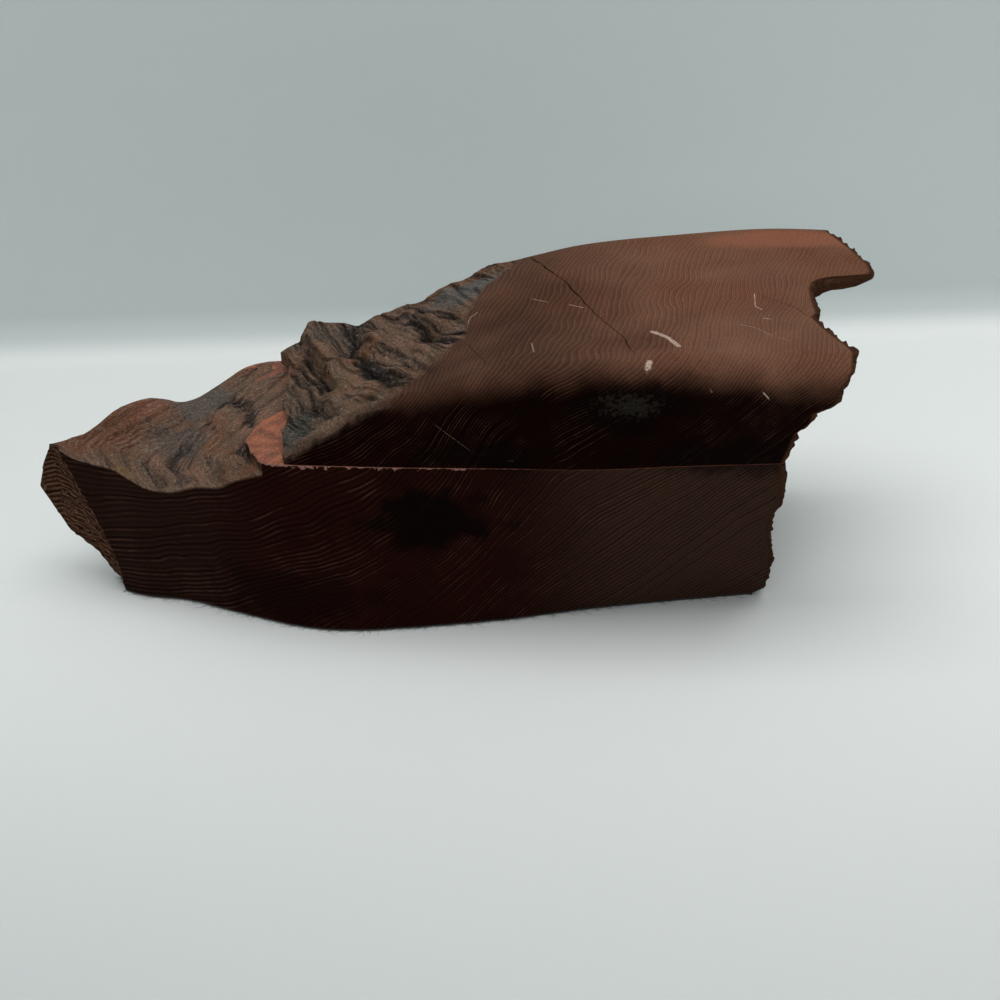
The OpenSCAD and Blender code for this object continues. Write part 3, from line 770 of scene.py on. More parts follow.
# Wood bodies
def hinge_cutters(up):
    """Room for the leaves and knuckles of both hinges in one body."""
    low, high = (LID_Z - OVER_SEAT, LID_Z + LEAF_THICK) if up else (SEAM_Z - LEAF_THICK, SEAM_Z + OVER_SEAT)
    half = HINGE_W / 2 + MORTISE_FIT
    made = []
    for x in HINGE_X:
        front = AXIS_Y - LEAF_D - MORTISE_FIT
        seat = [(front, low), (AXIS_Y, low), (AXIS_Y, high), (front, high)]
        made.append(bar("seat", x - half, x + half, seat))
        reach = half + PIN_HEAD_T
        made.append(round_bar("barrel", x - reach, x + reach, BARREL_R + MORTISE_FIT))
    return made


def spaced(count, share, k):
    """Shares from 0 to 1: the first part of the steps is used up by the given share of the way."""
    first = int(count * k)
    fine = np.linspace(0, share, first, endpoint=False)
    return np.concatenate([fine, np.linspace(share, 1, count - first + 1)])


def crowded(count):
    """Shares from 0 to 1 that crowd towards both ends."""
    u = np.linspace(0, 1, count + 1)
    return 0.1 * u + 0.9 * (3 * u * u - 2 * u ** 3)


def lattice(along, share, part, across, up):
    return spaced(along, share, part), crowded(across), np.linspace(0, 1, up)


def build_base():
    piece = block_mesh("wood_base", base_point, *lattice(*BASE_LATTICE), base_relief)
    far, high = AXIS_Y + FAR, AXIS_Z + FAR
    bevel = [(AXIS_Y, AXIS_Z), (far, AXIS_Z - FAR * tan(BEVEL)), (far, high), (AXIS_Y, high)]
    over = SEAM_Z + OVER_HOLLOW
    hollow = prism("hollow", rounded(HOLLOW_LOW, HOLLOW_HIGH, HOLLOW_R), HOLLOW_LOW[2], over)
    return cut(piece, [hollow, bar("bevel", CUT_X[0] - END_GAP, CUT_X[1], bevel), *hinge_cutters(False)])


def build_lid():
    piece = block_mesh("wood_lid", lid_point, *lattice(*LID_LATTICE), lid_relief)
    far, low = AXIS_Y + FAR, AXIS_Z - FAR
    bevel = [(AXIS_Y, low), (far, low), (far, AXIS_Z + FAR * tan(BEVEL)), (AXIS_Y, AXIS_Z)]
    strip = [(STRIP_X, AXIS_Y), (CUT_X[0], AXIS_Y), (CUT_X[0], far), (STRIP_X, far)]
    under = LID_Z - OVER_HOLLOW
    recess = prism("recess", rounded(RECESS_LOW, RECESS_HIGH, HOLLOW_R), under, RECESS_HIGH[2])
    cracks = [crack(piece, *row) for row in CRACKS]
    left = prism("left", strip, *STRIP_Z)
    return cut(piece, [recess, left, bar("bevel", *CUT_X, bevel), *hinge_cutters(True), *cracks])


def mark(piece, marks_of):
    """Writes what the wood's material needs to know of each point: weathered, creased, torn."""
    mesh = piece.data
    places, normals = read(mesh.vertices, "co"), read(mesh.vertices, "normal")
    for name, values in marks_of(places / MM, normals).items():
        layer = mesh.attributes.new(name, "FLOAT", "POINT")
        layer.data.foreach_set("value", values.astype(np.float32))


def within(x, y, z):
    """1 away from the front and back faces."""
    front = ease((y - front_y(x, z) - FACE_CLEAR) / FACE_FADE)
    return front * ease((back_y(x, z) - y - FACE_CLEAR) / FACE_FADE)


def base_marks(p, n):
    x, y, z = p.T
    outside = (z < SEAM_Z - 0.3) & (x < lookup(y, SAWN_LEFT) + 1.5)
    up = np.maximum(ease((n[:, 2] - 0.25) / 0.3), within(x, y, z) * ease((x + 120) / 4))
    _, crease, hollow = base_weather(p)
    facet = ease(y - front_y(x, z) - 0.2) * ease((-112 - x) / 6) * (1 - up)
    end = mix(lookup(z, RIGHT_EDGE), lookup(z, RIGHT_BACK), ease((y + 55) / 110))
    right = ease((x - end + 2.0) / 1.2)
    return {
        "weather": up * outside,
        "crease": 0.35 * crease * up * outside,
        "hollow": 0.85 * hollow,
        "torn": np.clip(np.maximum(facet, right * (1 - up)), 0, 1),
    }


def lid_marks(p, n):
    x, y, z = p.T
    up = np.maximum(ease((n[:, 2] - 0.15) / 0.35), within(x, y, z) * ease((x + 56) / 3))
    _, crease, hollow = lid_weather(p)
    soft = lookup(y, [(-48, 18), (-25, 9), (-5, 2.5)])
    slope = 1 - ease((x - lookup(y, SANDED_LEFT) + 2.5 * noise_at(p, 6, 13, 3)) / soft + 0.5)
    right = ease((x - lid_end_x(y, z) + 2.0) / 1.2) * ease((x - 100) / 4)
    drop = curve(TOP_FRONT, x) - z + 0.8 - 2.2 * noise_at(p, 5, 12, 3)
    over = np.maximum(up, (1 - ease(drop / 4)) * (n[:, 1] < 0.2))
    rim = ease((y - front_y(x, z)) / 13)
    # The crease mark also darkens a band along the weathered slope's front brink
    brink = 0.55 * slope * (x < 0) * (1 - ease((y - front_y(x, z) + 1) / 8))
    return {
        "weather": over * slope,
        "crease": np.maximum(crease * up * slope * rim, brink),
        "hollow": hollow * (0.4 + 0.6 * rim),
        "torn": np.clip(right, 0, 1),
    }


def srgb(code):
    """Linear colour from a hex code."""
    parts = [int(code[i:i + 2], 16) / 255 for i in (1, 3, 5)]
    return tuple(c / 12.92 if c < 0.04045 else ((c + 0.055) / 1.055) ** 2.4 for c in parts) + (1.0,)


class Wire:
    """What comes out of a shader node. Sums and products with wires and numbers make further nodes."""

    # Lets a numpy number on the left leave the sum to this class
    __array_ufunc__ = None

    def __init__(self, paint, socket):
        self.paint = paint
        self.socket = socket

    def __add__(self, other):
        return self.paint.math("ADD", self, other)

    def __sub__(self, other):
        return self.paint.math("SUBTRACT", self, other)

    def __rsub__(self, other):
        return self.paint.math("SUBTRACT", other, self)

    def __mul__(self, other):
        return self.paint.math("MULTIPLY", self, other)

    def __truediv__(self, other):
        return self.paint.math("DIVIDE", self, other)

    __radd__ = __add__
    __rmul__ = __mul__


class Paint:
    """A material and short names for the nodes that it is made of. Colours are hex codes."""

    def __init__(self, name):
        self.material = bpy.data.materials.new(name)
        self.material.use_nodes = True
        self.tree = self.material.node_tree
        self.where = self.add("ShaderNodeTexCoord", out="Object")

    def put(self, socket, value):
        if isinstance(value, Wire):
            self.tree.links.new(value.socket, socket)
        else:
            socket.default_value = srgb(value) if isinstance(value, str) else value

    def add(self, kind, inputs=(), out=0, **settings):
        """A new node's output."""
        node = self.tree.nodes.new(kind)
        for key, value in settings.items():
            setattr(node, key, value)
        for key, value in dict(inputs).items():
            self.put(node.inputs[key], value)
        return Wire(self, node.outputs[out])

    def finish(self, **inputs):
        """Sets the shader's inputs, with _ for each space in their names, and gives the material."""
        for name, value in inputs.items():
            self.put(self.tree.nodes["Principled BSDF"].inputs[name.replace("_", " ")], value)
        return self.material

    def axes(self):
        """X, Y and Z of the place, in millimetres."""
        apart = self.add("ShaderNodeSeparateXYZ", {0: self.where}).socket.node.outputs
        return [Wire(self, socket) / MM for socket in apart]

    def math(self, kind, a, b=0.0, clamp=False):
        return self.add("ShaderNodeMath", {0: a, 1: b}, operation=kind, use_clamp=clamp)

    def sqrt(self, a):
        return self.math("SQRT", a)

    def exp(self, a):
        return self.math("EXPONENT", a)

    def tanh(self, a):
        return self.math("TANH", a)

    def vector(self, kind, a, b, out="Vector"):
        return self.add("ShaderNodeVectorMath", {0: a, 1: b}, out, operation=kind)

    def length(self, a):
        return self.add("ShaderNodeVectorMath", {0: a}, "Value", operation="LENGTH")

    def noise(self, size, detail=3.0, rough=0.5, where=None):
        """Noise from 0 to 1, with features of that size in millimetres."""
        inputs = {"Vector": where or self.where, "Scale": 1 / (size * MM), "Detail": detail}
        return self.add("ShaderNodeTexNoise", {**inputs, "Roughness": rough}, "Fac")

    def band(self, value, low, high, a=0.0, b=1.0):
        """Goes smoothly from a to b as the value goes from low to high."""
        inputs = {"Value": value, "From Min": low, "From Max": high, "To Min": a, "To Max": b}
        return self.add("ShaderNodeMapRange", inputs, "Result", interpolation_type="SMOOTHSTEP")

    def blend(self, k, a, b, kind="MIX"):
        return self.add("ShaderNodeMix", {6: a, 7: b, 0: k}, 2, data_type="RGBA", blend_type=kind)

    def over(self, colour, *coats):
        """Lays coats over a colour, each as (share, colour)."""
        for share, coat in coats:
            colour = self.blend(share, colour, coat)
        return colour

    def ramp(self, value, *stops):
        """Colours or grey levels at places from 0 to 1."""
        ramp = self.add("ShaderNodeValToRGB", {0: value}, "Color")
        elements = ramp.socket.node.color_ramp.elements
        while len(elements) < len(stops):
            elements.new(0.5)
        for element, (at, colour) in zip(elements, stops):
            element.position = at
            element.color = srgb(colour) if isinstance(colour, str) else (colour, colour, colour, 1.0)
        return ramp

    def mark(self, name):
        return self.add("ShaderNodeAttribute", out="Fac", attribute_name=name)

    def spot(self, centre, radii, ragged=0.35, size=9.0):
        """1 in the middle of a ragged patch, 0 outside it."""
        away = self.vector("SUBTRACT", self.where, tuple(c * MM for c in centre))
        away = self.vector("DIVIDE", away, tuple(r * MM for r in radii))
        return self.band(self.length(away) + (self.noise(size, 4) - 0.5) * (4 * ragged), 1.15, 0.55)

    def bump(self, height, distance, strength=1.0, **normal):
        inputs = {"Height": height, "Distance": distance * MM, "Strength": strength, **normal}
        return self.add("ShaderNodeBump", inputs, "Normal")


def rings_in(paint):
    """The growth rings for a material, bent by soft noise."""
    field = ring_height(*paint.axes(), paint)
    for size, reach in RING_WANDER:
        field = field + reach * paint.noise(size, 2)
    return field


def scratched(paint, lines):
    """1 on the pale scratches."""
    found = 0.0
    for a, b, width, strength in lines:
        a, b = Vector(a) * MM, Vector(b) * MM
        along = b - a
        off = paint.vector("SUBTRACT", paint.where, tuple(a))
        k = paint.vector("DOT_PRODUCT", off, tuple(along), "Value")
        k = paint.math("MULTIPLY", k, 1 / along.length_squared, clamp=True)
        part = paint.add("ShaderNodeVectorMath", {0: tuple(along), "Scale": k}, operation="SCALE")
        d = paint.length(paint.vector("SUBTRACT", off, part))
        line = paint.band(d, width * 0.7 * MM, width * 0.3 * MM, 0.0, strength)
        found = paint.math("MAXIMUM", found, line)
    return found * paint.band(paint.noise(0.7, 2), 0.32, 0.5)


def lid_top_colour(paint, dark, x, z, late, lit, count):
    """The lid's dark sides, and over its brow a paler top with low contrast: partly the sanded top's own
    finish, partly painted light on the faces turned up to the overhead lamp. Gives the brow's share too.
    """
    cloud, blotch, drift = paint.noise(14), paint.noise(38), paint.noise(20)
    level = z + 9 * paint.noise(14, 4) - 1.5 * late
    level = level + paint.band(x, 45, -20, 0, 9) + paint.band(x, 70, 125, 0, 5)
    brow = paint.band(level, 96.5, 112)
    thin = paint.band(paint.math("SINE", count * (4 * pi)), 0.0, 1.0, 0.0, 0.4)
    pale = paint.over(
        paint.blend(cloud, "#694737", "#865f4a"),
        (paint.band(blotch, 0.4, 0.7, 0.0, 0.6), "#7a4a35"),
        (paint.band(x, 88, 25, 0.0, 0.65), "#452d23"),
        (late * paint.band(drift, 0.35, 0.65, 0.12, 0.4), "#38211a"),
        (thin * paint.band(blotch, 0.35, 0.6, 0.5, 1.0), "#3a231a"),
        # Painted sheen: pale ring lines on the top, where the lacquer catches the light on the raised grain
        (lit * paint.band(drift, 0.3, 0.7, 0.22, 0.05), "#9a7359"),
    )
    return paint.blend(brow, dark, pale), brow


def weathered_crust(paint, flow, depth, crease, hollow, crumbs):
    """Colour and height of the weathered wood: the crust's tones and patches, with painted light and shade
    on its relief: slate-grey hollows darkened as painted shade, pale painted highlights on the crests, and
    painted shade in the splits and creases.
    """
    flow = flow + 6 * paint.noise(22, 2) + 1.4 * paint.noise(5, 2)
    stripe = 0.5 + 0.5 * paint.math("SINE", flow * (2 * pi / STRIPE_PITCH))
    layer = paint.math("FRACT", flow / SPLIT_PITCH + 2.2 * paint.noise(7)) - 0.5
    layer = paint.math("ABSOLUTE", layer)
    # Painted highlight: thin pale lines on the crests of the layers
    edge = paint.band(layer, 0.36, 0.46) * paint.band(paint.noise(9), 0.44, 0.6)
    # Painted shade: thin dark splits in the hollows
    split = paint.band(layer, 0.17, 0.02) * paint.band(paint.noise(10), 0.46, 0.62)
    split = split * paint.band(hollow, 0.12, 0.4)
    tone = paint.noise(20)
    crest = paint.ramp(tone, (0.35, "#876049"), (0.5, "#806958"), (0.62, "#916f5c"))
    # Slate-grey hollows: partly the crust's own weathered colour, partly painted shade
    deep = paint.ramp(tone, (0.38, "#493a31"), (0.52, "#4b4541"), (0.64, "#424445"))
    crust = paint.over(
        paint.blend(paint.band(hollow, 0.15, 0.85, 0.0, depth), crest, deep),
        *[(paint.spot(centre, radii) * share, colour) for centre, radii, colour, share in CRUST_PATCHES],
        # Painted shade: the deepest hollows darken further
        (paint.band(hollow, 0.55, 1.0, 0.0, 0.4 * depth), "#2a211b"),
        (stripe * 0.2, "#33261e"),
        (edge * 0.5, "#a48c7c"),
        (paint.band(crumbs, 0.52, 0.7, 0.0, 0.6), "#a89484"),
        (paint.band(crumbs, 0.46, 0.3, 0.0, 0.6 * depth), "#241a15"),
        (paint.band(paint.noise(0.4, 3, 0.6), 0.5, 0.32, 0.0, 0.6), "#1d1511"),
        # Painted shade: the splits and creases go near black
        (split * 0.75, "#1a120d"),
        (crease * 0.9, "#150e0a"),
    )
    return crust, stripe * 0.6 - split


def wood_outside(name, is_lid):
    """Sanded and lacquered redwood, with the weathered crust and the torn ends where the marks say so."""
    paint = Paint(name)
    x, y, z = paint.axes()
    weather, crease, torn, hollow = [paint.mark(m) for m in ("weather", "crease", "torn", "hollow")]
    plain = paint.band(x, 0, 80, 1.0, 0.3)
    often = torn * (1.1 - plain) + 1.0
    rate = (LID_RINGS if is_lid else 1.0) / RING_PITCH
    count = (rings_in(paint) - 0.5 * torn * y) * often * rate
    ring = paint.math("FRACT", count)
    floor = paint.math("FLOOR", count)
    own = paint.add("ShaderNodeTexWhiteNoise", {"W": floor}, "Value", noise_dimensions="1D")
    late = paint.ramp(ring, (0.0, 0.0), (0.5, 0.1), (0.74, 1), (0.88, 0.9), (1.0, 0)) * (own * 0.7 + 0.3)
    lit = paint.ramp(ring, (0.1, 0), (0.3, 1), (0.42, 0.5), (0.62, 0))
    cloud = paint.noise(14)
    crumbs = paint.noise(1.3, 5, 0.65)

    # Dark sides with thin lighter lines: the wood's dark finish, darkened further by painted shade on the
    # fronts, most on the lid's undercut front; the lighter lines are painted sheen
    if is_lid:
        dark = paint.blend(cloud, "#090100", "#1b0603")
        dark = paint.over(dark, (paint.band(x, 50, 120, 0.0, 0.5), "#180a06"))
    else:
        dark = paint.blend(cloud, "#1c0804", "#2c110a")
        # Painted reflection: lighter veils at the base front's left end and towards its right, where the
        # lacquer mirrors the bright floor
        dark = paint.over(dark, (paint.band(x, -60, -110, 0.0, 0.7), "#281a13"),
                          (paint.band(x, 10, 70, 0.0, 0.9), "#402d24"))
    # Painted sheen: pale streaks on the raised grain where the lacquer would catch the overhead light
    painted_sheen = lit * paint.band(paint.noise(20), 0.42, 0.62, 0.06, 1.0) * (own * 0.9 - 0.05)
    broken = paint.band(paint.noise(4), 0.38, 0.6, 0.35, 1.0)
    clean = paint.over(dark, (late * 0.8, "#070201"), (painted_sheen * broken, "#563a2d"))
    brow = 0.0
    if is_lid:
        clean, brow = lid_top_colour(paint, clean, x, z, late, lit, count)
    clean = paint.over(clean, *[(paint.spot(*stain) * share, "#080403") for *stain, share in STAINS])
    if is_lid:
        grey = paint.spot((60, -58, 90), (9, 6, 4.5), 0.9, 1.6) * 0.5
        grey = grey * paint.band(paint.noise(0.8), 0.35, 0.65, 0.5, 1.0)
        facet = paint.spot((128, 42, 111), (34, 9, 14), 0.12) * 0.6
        bare = scratched(paint, SCRATCHES)
        clean = paint.over(clean, (grey, "#3c382f"), (facet, "#9a6049"), (bare, "#cdb3a3"))
    else:
        chips = paint.band(paint.noise(3.0, 4, 0.6), 0.45, 0.66)
        reach = (1.3 * chips + 0.15) * paint.band(x, 35, -25)
        worn = paint.band(SEAM_Z - z - reach, 0.1, -0.1)
        clean = paint.over(clean, (worn * 0.85, "#a5796c"))

    flow = lid_flow(x, y) if is_lid else x - 0.7 * paint.sqrt(square(beside_fold(x, y)) + FOLD_ROUND)
    crust, layers = weathered_crust(paint, flow, 1.0 if is_lid else 0.75, crease, hollow, crumbs)
    end = paint.over(
        paint.blend(paint.noise(38), "#402719", "#5c3c29"),
        (late * plain, "#120805"),
        (lit * 0.75 * plain, "#8a6d5c"),
        (paint.band(crumbs, 0.48, 0.34, 0.0, 0.6), "#140c09"),
    )
    colour = paint.blend(torn, paint.blend(weather, clean, crust), end)
    speck = paint.ramp(paint.noise(0.5, 2), (0.3, "#4a4a4a"), (0.7, "#ffffff"))

    rough = paint.math("MAXIMUM", weather, torn)
    smooth = paint.band(paint.noise(7), 0.3, 0.7, 0.34, 0.5)
    grain = paint.math("MAXIMUM", lit * (1.0 - 0.8 * brow), lit * torn) * plain
    grain = paint.blend(weather, grain, layers) * 0.75 + paint.noise(0.9) * 0.3
    crumble = crumbs * paint.band(rough, 0.0, 1.0, 0.04, 1.0)
    return paint.finish(
        Base_Color=paint.blend(0.35, colour, speck, "MULTIPLY"),
        Roughness=paint.math("ADD", smooth, rough * 0.38, clamp=True),
        Specular_IOR_Level=0.01,
        Normal=paint.bump(crumble, 1.3, Normal=paint.bump(grain, 0.3, 0.8)),
    )


def wood_sawn(name):
    """Bare sawn redwood of the cut faces, with saw marks across it."""
    paint = Paint(name)
    ring = paint.math("FRACT", rings_in(paint) * (1 / RING_PITCH))
    late = paint.ramp(ring, (0.0, 0), (0.7, 1), (1.0, 0))
    speck = paint.noise(0.8)
    colour = paint.over(
        paint.blend(paint.band(paint.noise(6, 4), 0.32, 0.66), "#652f1b", "#9c5634"),
        (late * 0.4, "#5f2f1c"),
        (paint.band(speck, 0.5, 0.3, 0.0, 0.35), "#582c1a"),
        (paint.band(paint.noise(0.6, 3, 0.6), 0.52, 0.7, 0.0, 0.5), "#c99478"),
    )
    wave = {"Vector": paint.where, "Scale": 90.0, "Distortion": 1.5, "Detail": 2.0}
    saw = paint.add("ShaderNodeTexWave", wave, "Fac")
    rough = paint.band(speck, 0.3, 0.7, 0.62, 0.82)
    return paint.finish(Base_Color=colour, Roughness=rough, Normal=paint.bump(saw * 0.4 + speck, 0.25, 0.8))


def felt(name, colour, light):
    """Matted wool felt."""
    paint = Paint(name)
    mat = paint.noise(0.55, 5, 0.7)
    tone = paint.blend(paint.band(mat, 0.35, 0.7), colour, light)
    return paint.finish(
        Base_Color=paint.blend(paint.noise(16, 2), tone, colour),
        Roughness=paint.band(mat, 0.3, 0.7, 0.88, 1.0),
        Sheen_Weight=0.35,
        Sheen_Roughness=0.5,
        Normal=paint.bump(mat, 0.6),
    )


def brass(name, colour, dull):
    """Aged brass with soft stains and fine rubbing marks."""
    paint = Paint(name)
    stain = paint.band(paint.noise(4, 4), 0.35, 0.7)
    rub = paint.noise(0.25, 2, where=paint.vector("MULTIPLY", paint.where, (0.08, 1.0, 1.0)))
    return paint.finish(
        Base_Color=paint.blend(stain, colour, dull),
        Metallic=1.0,
        Roughness=paint.band(rub + stain, 0.4, 1.6, 0.24, 0.5),
        Normal=paint.bump(rub, 0.02, 0.6),
    )


def dress(piece, *materials):
    piece.data.materials.clear()
    for material in materials:
        piece.data.materials.append(material)
    return piece


def shade_wood(piece, plane_z, up):
    """Smooth shading outside, and the sawn material on the flat cut faces and inside them."""
    mesh = piece.data
    normals = read(mesh.polygons, "normal")
    x, y, z = (read(mesh.polygons, "center") / MM).T
    off_plane = np.abs(z - plane_z)
    on_plane = (off_plane < 0.02) & (normals[:, 2] * up > 0.99)
    low, high = (HOLLOW_LOW, HOLLOW_HIGH) if up > 0 else (RECESS_LOW, RECESS_HIGH)
    low, high = low - CUT_MARGIN, high + CUT_MARGIN
    hollow = (x > low[0]) & (x < high[0]) & (y > low[1]) & (y < high[1])
    hollow &= (z > low[2]) if up > 0 else (z < high[2])
    bevel = np.abs(np.abs(normals[:, 1]) - sin(BEVEL)) < 0.002
    bevel &= (y > AXIS_Y - 0.1) & (np.abs(normals[:, 0]) < 0.001)
    seats = (y > AXIS_Y - LEAF_D - 1) & (off_plane > 0.5) & (off_plane < 4) & (np.abs(normals[:, 2]) > 0.99)
    is_sawn = on_plane | hollow | bevel | seats
    mesh.polygons.foreach_set("material_index", is_sawn.astype(np.int32))
    mesh.polygons.foreach_set("use_smooth", ~is_sawn)
    mesh.set_sharp_from_angle(angle=SHARP_EDGE)
    mesh.update()


# Felt
def cloth(name, rings, material, closed=False):
    """A cloth's skin, smooth all over but for its caps."""
    piece = skin(name, rings, closed)
    faces = piece.data.polygons
    faces.foreach_set("use_smooth", [len(face.vertices) == 4 for face in faces])
    return dress(piece, material)


def flat_cloth(name, node, material, seed):
    """Felt glued on a flat face: the node's outline with a soft, slightly uneven nap."""
    low, high = box_mm(node)
    rings = []
    edge = ((0.25, low[2]), (0.05, low[2] + 0.3), (0.05, high[2] - 0.35), (0.45, high[2] - 0.05))
    for inset, z in edge:
        rings.append([(x, y, z) for x, y in rounded(low[:2] + inset, high[:2] - inset, HOLLOW_R - inset)])
    middle = (low[:2] + high[:2]) / 2
    for share in np.linspace(0.97, 0.06, FLAT_ROWS):
        half = (high[:2] - low[:2]) / 2 * share
        ring = rounded(middle - half, middle + half, max(0.5, (HOLLOW_R - 0.45) * share))
        lift = [noise.noise(Vector((x / NAP_SIZE, y / NAP_SIZE, seed))) for x, y in ring]
        rings.append([(x, y, high[2] - NAP + NAP * k) for (x, y), k in zip(ring, lift)])
    return cloth(name, rings, material)


def turn_over(piece):
    """Turns a flat cloth's nap to the other side."""
    heights = [v.co.z for v in piece.data.vertices]
    middle = Matrix.Translation((0, 0, min(heights) + max(heights)))
    piece.data.transform(middle @ Matrix.Scale(-1, 4, (0, 0, 1)))
    piece.data.flip_normals()


def wall_cloth(name, node, material, seed):
    """Felt glued round a wall: a band with a rolled edge and an uneven nap."""
    low, high = box_mm(node)
    levels = np.linspace(low[2], high[2], WALL_ROWS)
    middle = (low + high) / 2

    def ring(inset, z, nap):
        made = []
        for x, y in rounded(low[:2] + inset, high[:2] - inset, HOLLOW_R - inset, 16):
            k = nap * noise.noise(Vector((x / NAP_SIZE, y / NAP_SIZE + z / 7, seed)))
            toward = Vector((middle[0] - x, middle[1] - y)).normalized()
            made.append((x + toward.x * k, y + toward.y * k, z))
        return made

    outer = [ring(0.02, z, 0.0) for z in levels]
    inner = [ring(LINING_T - NAP, z, 0.1) for z in levels[::-1]]
    inner[0] = ring(LINING_T - 0.4, high[2], 0.05)
    inner[-1] = ring(LINING_T - 0.4, low[2], 0.05)
    return cloth(name, [*outer, *inner], material, closed=True)


def felt_outline(inset):
    """The bottom felt's edge in plan, which is the wood's foot drawn in by the inset, and the way in."""
    s, t = np.linspace(0, 1, 260), np.linspace(0, 1, 16)[1:-1]
    sides = [(s, 0.0 * s), (1 + 0.0 * t, t), (s[::-1], 1 + 0.0 * s), (0.0 * t, t[::-1])]
    line = np.concatenate([base_point(along, across, 0.0 * along)[:, :2] for along, across in sides])
    ahead = np.roll(line, -1, axis=0) - np.roll(line, 1, axis=0)
    inward = np.stack([-ahead[:, 1], ahead[:, 0]], axis=-1)
    inward /= np.linalg.norm(inward, axis=1)[:, None]
    ripple = np.array([noise.noise(Vector((x / 5, y / 5, FELT_SEED))) for x, y in line])
    return line + inward * (inset + FELT_RIPPLE * ripple)[:, None], inward


def felt_area():
    """Area of the felt's outline in square metres."""
    x, y = felt_outline(FELT_INSET)[0].T * MM
    return abs(np.sum(x * np.roll(y, -1) - y * np.roll(x, -1))) / 2


def bottom_cloth(material):
    """Black felt under the base, with a soft cut edge."""
    rings = []
    for inset, z in ((1.6, 0.0), (0.75, 0.05), (FELT_INSET, 0.35), (0.35, 0.8), (0.6, FELT_T)):
        rings.append([(x, y, z) for x, y in felt_outline(inset)[0]])
    return cloth("felt_sheet", rings, material)


def fibres(material):
    """Loose hairs along the cut edge of the felt."""
    draw = np.random.default_rng(5)
    line, inward = felt_outline(FELT_INSET)
    points, faces = [], []
    for _ in range(HAIRS):
        i = draw.integers(len(line))
        start = Vector((*line[i], draw.uniform(0.15, 1.0)))
        out = -Vector((*inward[i], 0))
        side = Vector((out.y, -out.x, 0))
        reach = draw.uniform(0.6, 2.6) if draw.random() < 0.9 else draw.uniform(2.5, 5.5)
        swing = draw.normal(0, 1.0)
        lift = draw.normal(-0.1, 0.45)
        curl = draw.normal(0, 0.8)
        radius = draw.uniform(0.03, 0.06)
        base = len(points)
        for k in range(5):
            u = k / 4
            aside = swing * u * 0.6 + curl * u * u * 0.5
            p = start + out * reach * u * (1 - 0.25 * u) + side * reach * aside
            p.z = min(max(start.z + reach * lift * u * u, radius), 3.5)
            r = radius * (1 - 0.6 * u)
            up = Vector((0, 0, r))
            points += [p + side * r, p - side * 0.5 * r + up, p - side * 0.5 * r - up]
        for k in range(4):
            for m in range(3):
                a, b = base + 3 * k + m, base + 3 * k + (m + 1) % 3
                faces.append((a, b, b + 3, a + 3))
        faces += [(base + 2, base + 1, base), (base + 12, base + 13, base + 14)]
    return dress(new_object("felt_fibres", points, faces), material)


# Pieces
sawn = wood_sawn("redwood_sawn")
black_felt = felt("black_felt", "#0c0b0a", "#26231f")
lining_felt = felt("lining_felt", "#100e0c", "#2b2723")
hinge_brass = brass("hinge_brass", "#b8924c", "#7d6132")
screw_brass = brass("screw_brass", "#c9a25a", "#8c6c38")

wood_base = dress(build_base(), wood_outside("redwood_base", False), sawn)
mark(wood_base, base_marks)
shade_wood(wood_base, SEAM_Z, 1)
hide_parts("base_body")
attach(wood_base, "base")

wood_lid = dress(build_lid(), wood_outside("redwood_lid", True), sawn)
mark(wood_lid, lid_marks)
shade_wood(wood_lid, LID_Z, -1)
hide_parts("lid_body")
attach(wood_lid, "lid")

felt_sheet = bottom_cloth(black_felt)
felt_fibres = fibres(black_felt)
floor_cloth = flat_cloth("floor_cloth", "floor_lining", lining_felt, 1.0)
base_wall_cloth = wall_cloth("wall_cloth", "wall_lining", lining_felt, 2.0)
lid_cloth = flat_cloth("lid_cloth", "lid_top_lining", lining_felt, 3.0)
turn_over(lid_cloth)
lid_wall_cloth = wall_cloth("lid_wall_cloth", "lid_wall_lining", lining_felt, 4.0)
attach(felt_fibres, "base")
CLOTHS = [
    (felt_sheet, "bottom_felt", "black_felt", "base"),
    (floor_cloth, "floor_lining", "lining_felt", "base"),
    (lid_cloth, "lid_top_lining", "lining_felt", "lid"),
    (base_wall_cloth, "wall_lining", "lining_felt", "base"),
    (lid_wall_cloth, "lid_wall_lining", "lining_felt", "lid"),
]
for piece, node, slot, body in CLOTHS:
    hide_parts(node)
    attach(piece, body)
    # Cut sizes in metres, to a tenth of a millimetre, from each node's box, and for the cloths other than
    # the wall linings the area of their outline; nothing uses them
    length, width, height = [round(b - a, 4) for a, b in zip(*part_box(node))]
    if "wall" in node:
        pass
    else:
        area = felt_area() if piece is felt_sheet else width * length - (4 - pi) * (HOLLOW_R * MM) ** 2

for name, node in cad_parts.items():
    if "leaf" in name:
        dress(node, hinge_brass)
    elif "screws" in name or "pin" in name:
        dress(node, screw_brass)


# Stage, light and camera
def paper(name):
    """Pale studio paper, with painted light: lighter to the right and painted shade towards the front of the
    floor. The wall's back lets the camera look through, so that every side can be seen.
    """
    paint = Paint(name)
    x, y, z = paint.axes()
    # Painted light: the paper brightens from left to right across the stage
    side = paint.band(x, -250, 250)
    far = paint.blend(side, "#e6e9e6", "#f3f5f2")
    # Painted shade: the floor darkens towards the front
    floor = paint.over(far, (paint.band(y, 0, -300), paint.blend(side, "#c2c6c4", "#d4d7d3")))
    tone = paint.over(
        floor,
        (paint.band(z, 0, 10), paint.blend(side, "#c6cfcd", "#ccd5d3")),
        (paint.noise(60) * 0.03, "#ffffff"),
    )
    eye = paint.add("ShaderNodeLightPath", out="Is Camera Ray")
    rear = paint.add("ShaderNodeNewGeometry", out="Backfacing")
    return paint.finish(Base_Color=tone, Roughness=0.85, Alpha=1.0 - eye * rear)


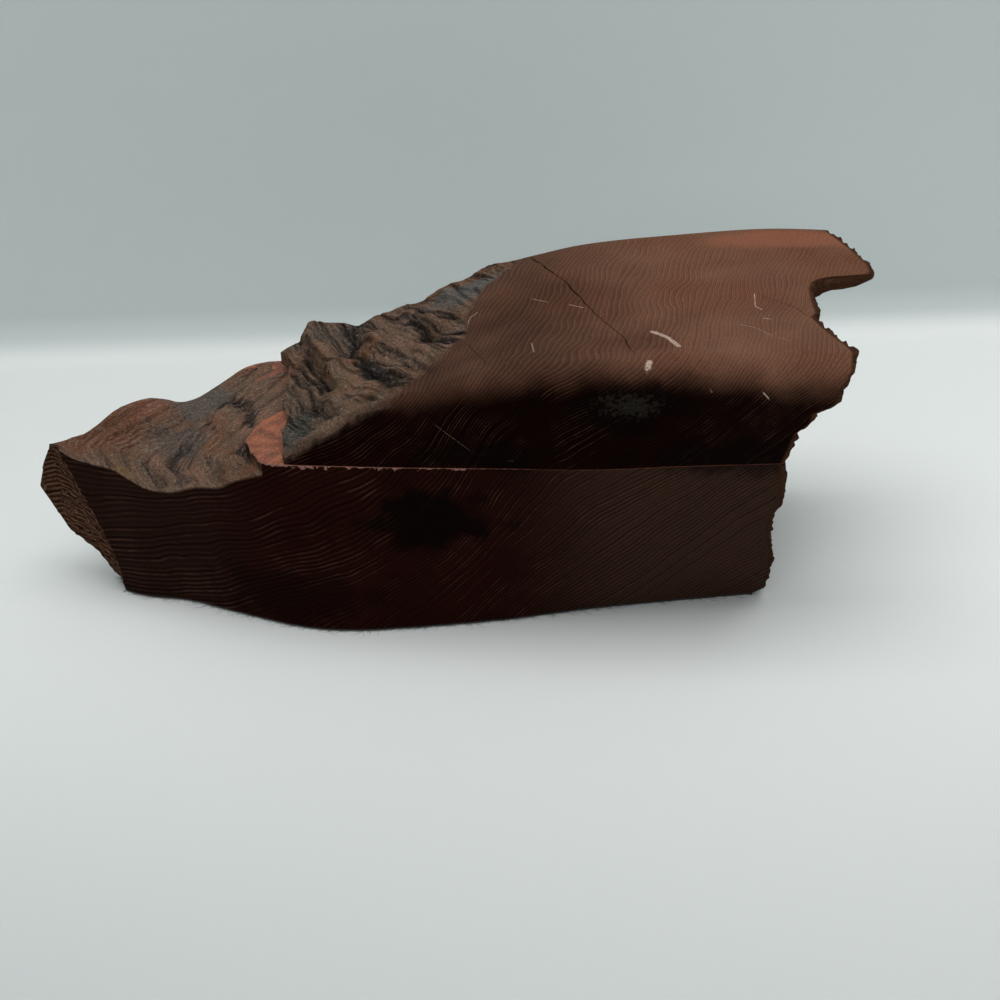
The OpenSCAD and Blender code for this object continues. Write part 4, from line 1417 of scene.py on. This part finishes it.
def backdrop():
    """A wide floor, and a wall that it sweeps up into behind the box."""
    material = paper("backdrop_paper")
    half = STAGE_HALF
    floor = [(-half, -half), (half, -half), (half, half), (-half, half)]
    floor = new_object("floor", [(x, y, -FLOOR_DROP) for x, y in floor], [(0, 1, 2, 3)])
    line = [(WALL_Y - SWEEP_R, 0.0)]
    for i in range(1, SWEEP_STEPS + 1):
        a = radians(90 * i / SWEEP_STEPS)
        line.append((WALL_Y - SWEEP_R + SWEEP_R * sin(a), SWEEP_R - SWEEP_R * cos(a)))
    line.append((WALL_Y, WALL_TOP))
    points = [(x, y, z) for y, z in line for x in (-half, half)]
    faces = [(2 * i, 2 * i + 1, 2 * i + 3, 2 * i + 2) for i in range(len(line) - 1)]
    wall = new_object("backdrop", points, faces)
    wall.data.polygons.foreach_set("use_smooth", [True] * len(faces))
    for piece in (floor, wall):
        dress(piece, material)


def lamp(name, place, aim, size, power):
    data = bpy.data.lights.new(name, "AREA")
    data.shape = "RECTANGLE"
    data.size, data.size_y = size
    data.energy = power
    light = placed(name, data)
    light.location = place
    light.rotation_euler = (Vector(aim) - Vector(place)).to_track_quat("-Z", "Y").to_euler()


backdrop()
lamp("overhead", (0.0, 0.05, 1.15), (0.0, 0.0, 0.0), (1.3, 0.9), 11.0)
lamp("front_fill", (-0.3, -1.3, 0.7), (0.0, 0.0, 0.05), (1.0, 0.7), 3.0)

world = bpy.data.worlds.new("studio")
world.use_nodes = True
background = world.node_tree.nodes["Background"].inputs
background["Color"].default_value = (0.9, 0.95, 1.0, 1.0)
background["Strength"].default_value = 0.35
bpy.context.scene.world = world

camera_data = bpy.data.cameras.new("camera")
camera_data.sensor_width = SENSOR
camera_data.lens = FOCAL_PIXELS * SENSOR / FRAME_PIXELS
camera_data.clip_start = 0.01
camera = placed("camera", camera_data)
camera.location = CAMERA_AT
tilt = Euler((radians(CAMERA_TILT), 0, 0)).to_matrix() @ Euler((0, 0, radians(CAMERA_ROLL))).to_matrix()
camera.rotation_euler = tilt.to_euler()
bpy.context.scene.camera = camera
bpy.context.scene.view_settings.view_transform = "Standard"
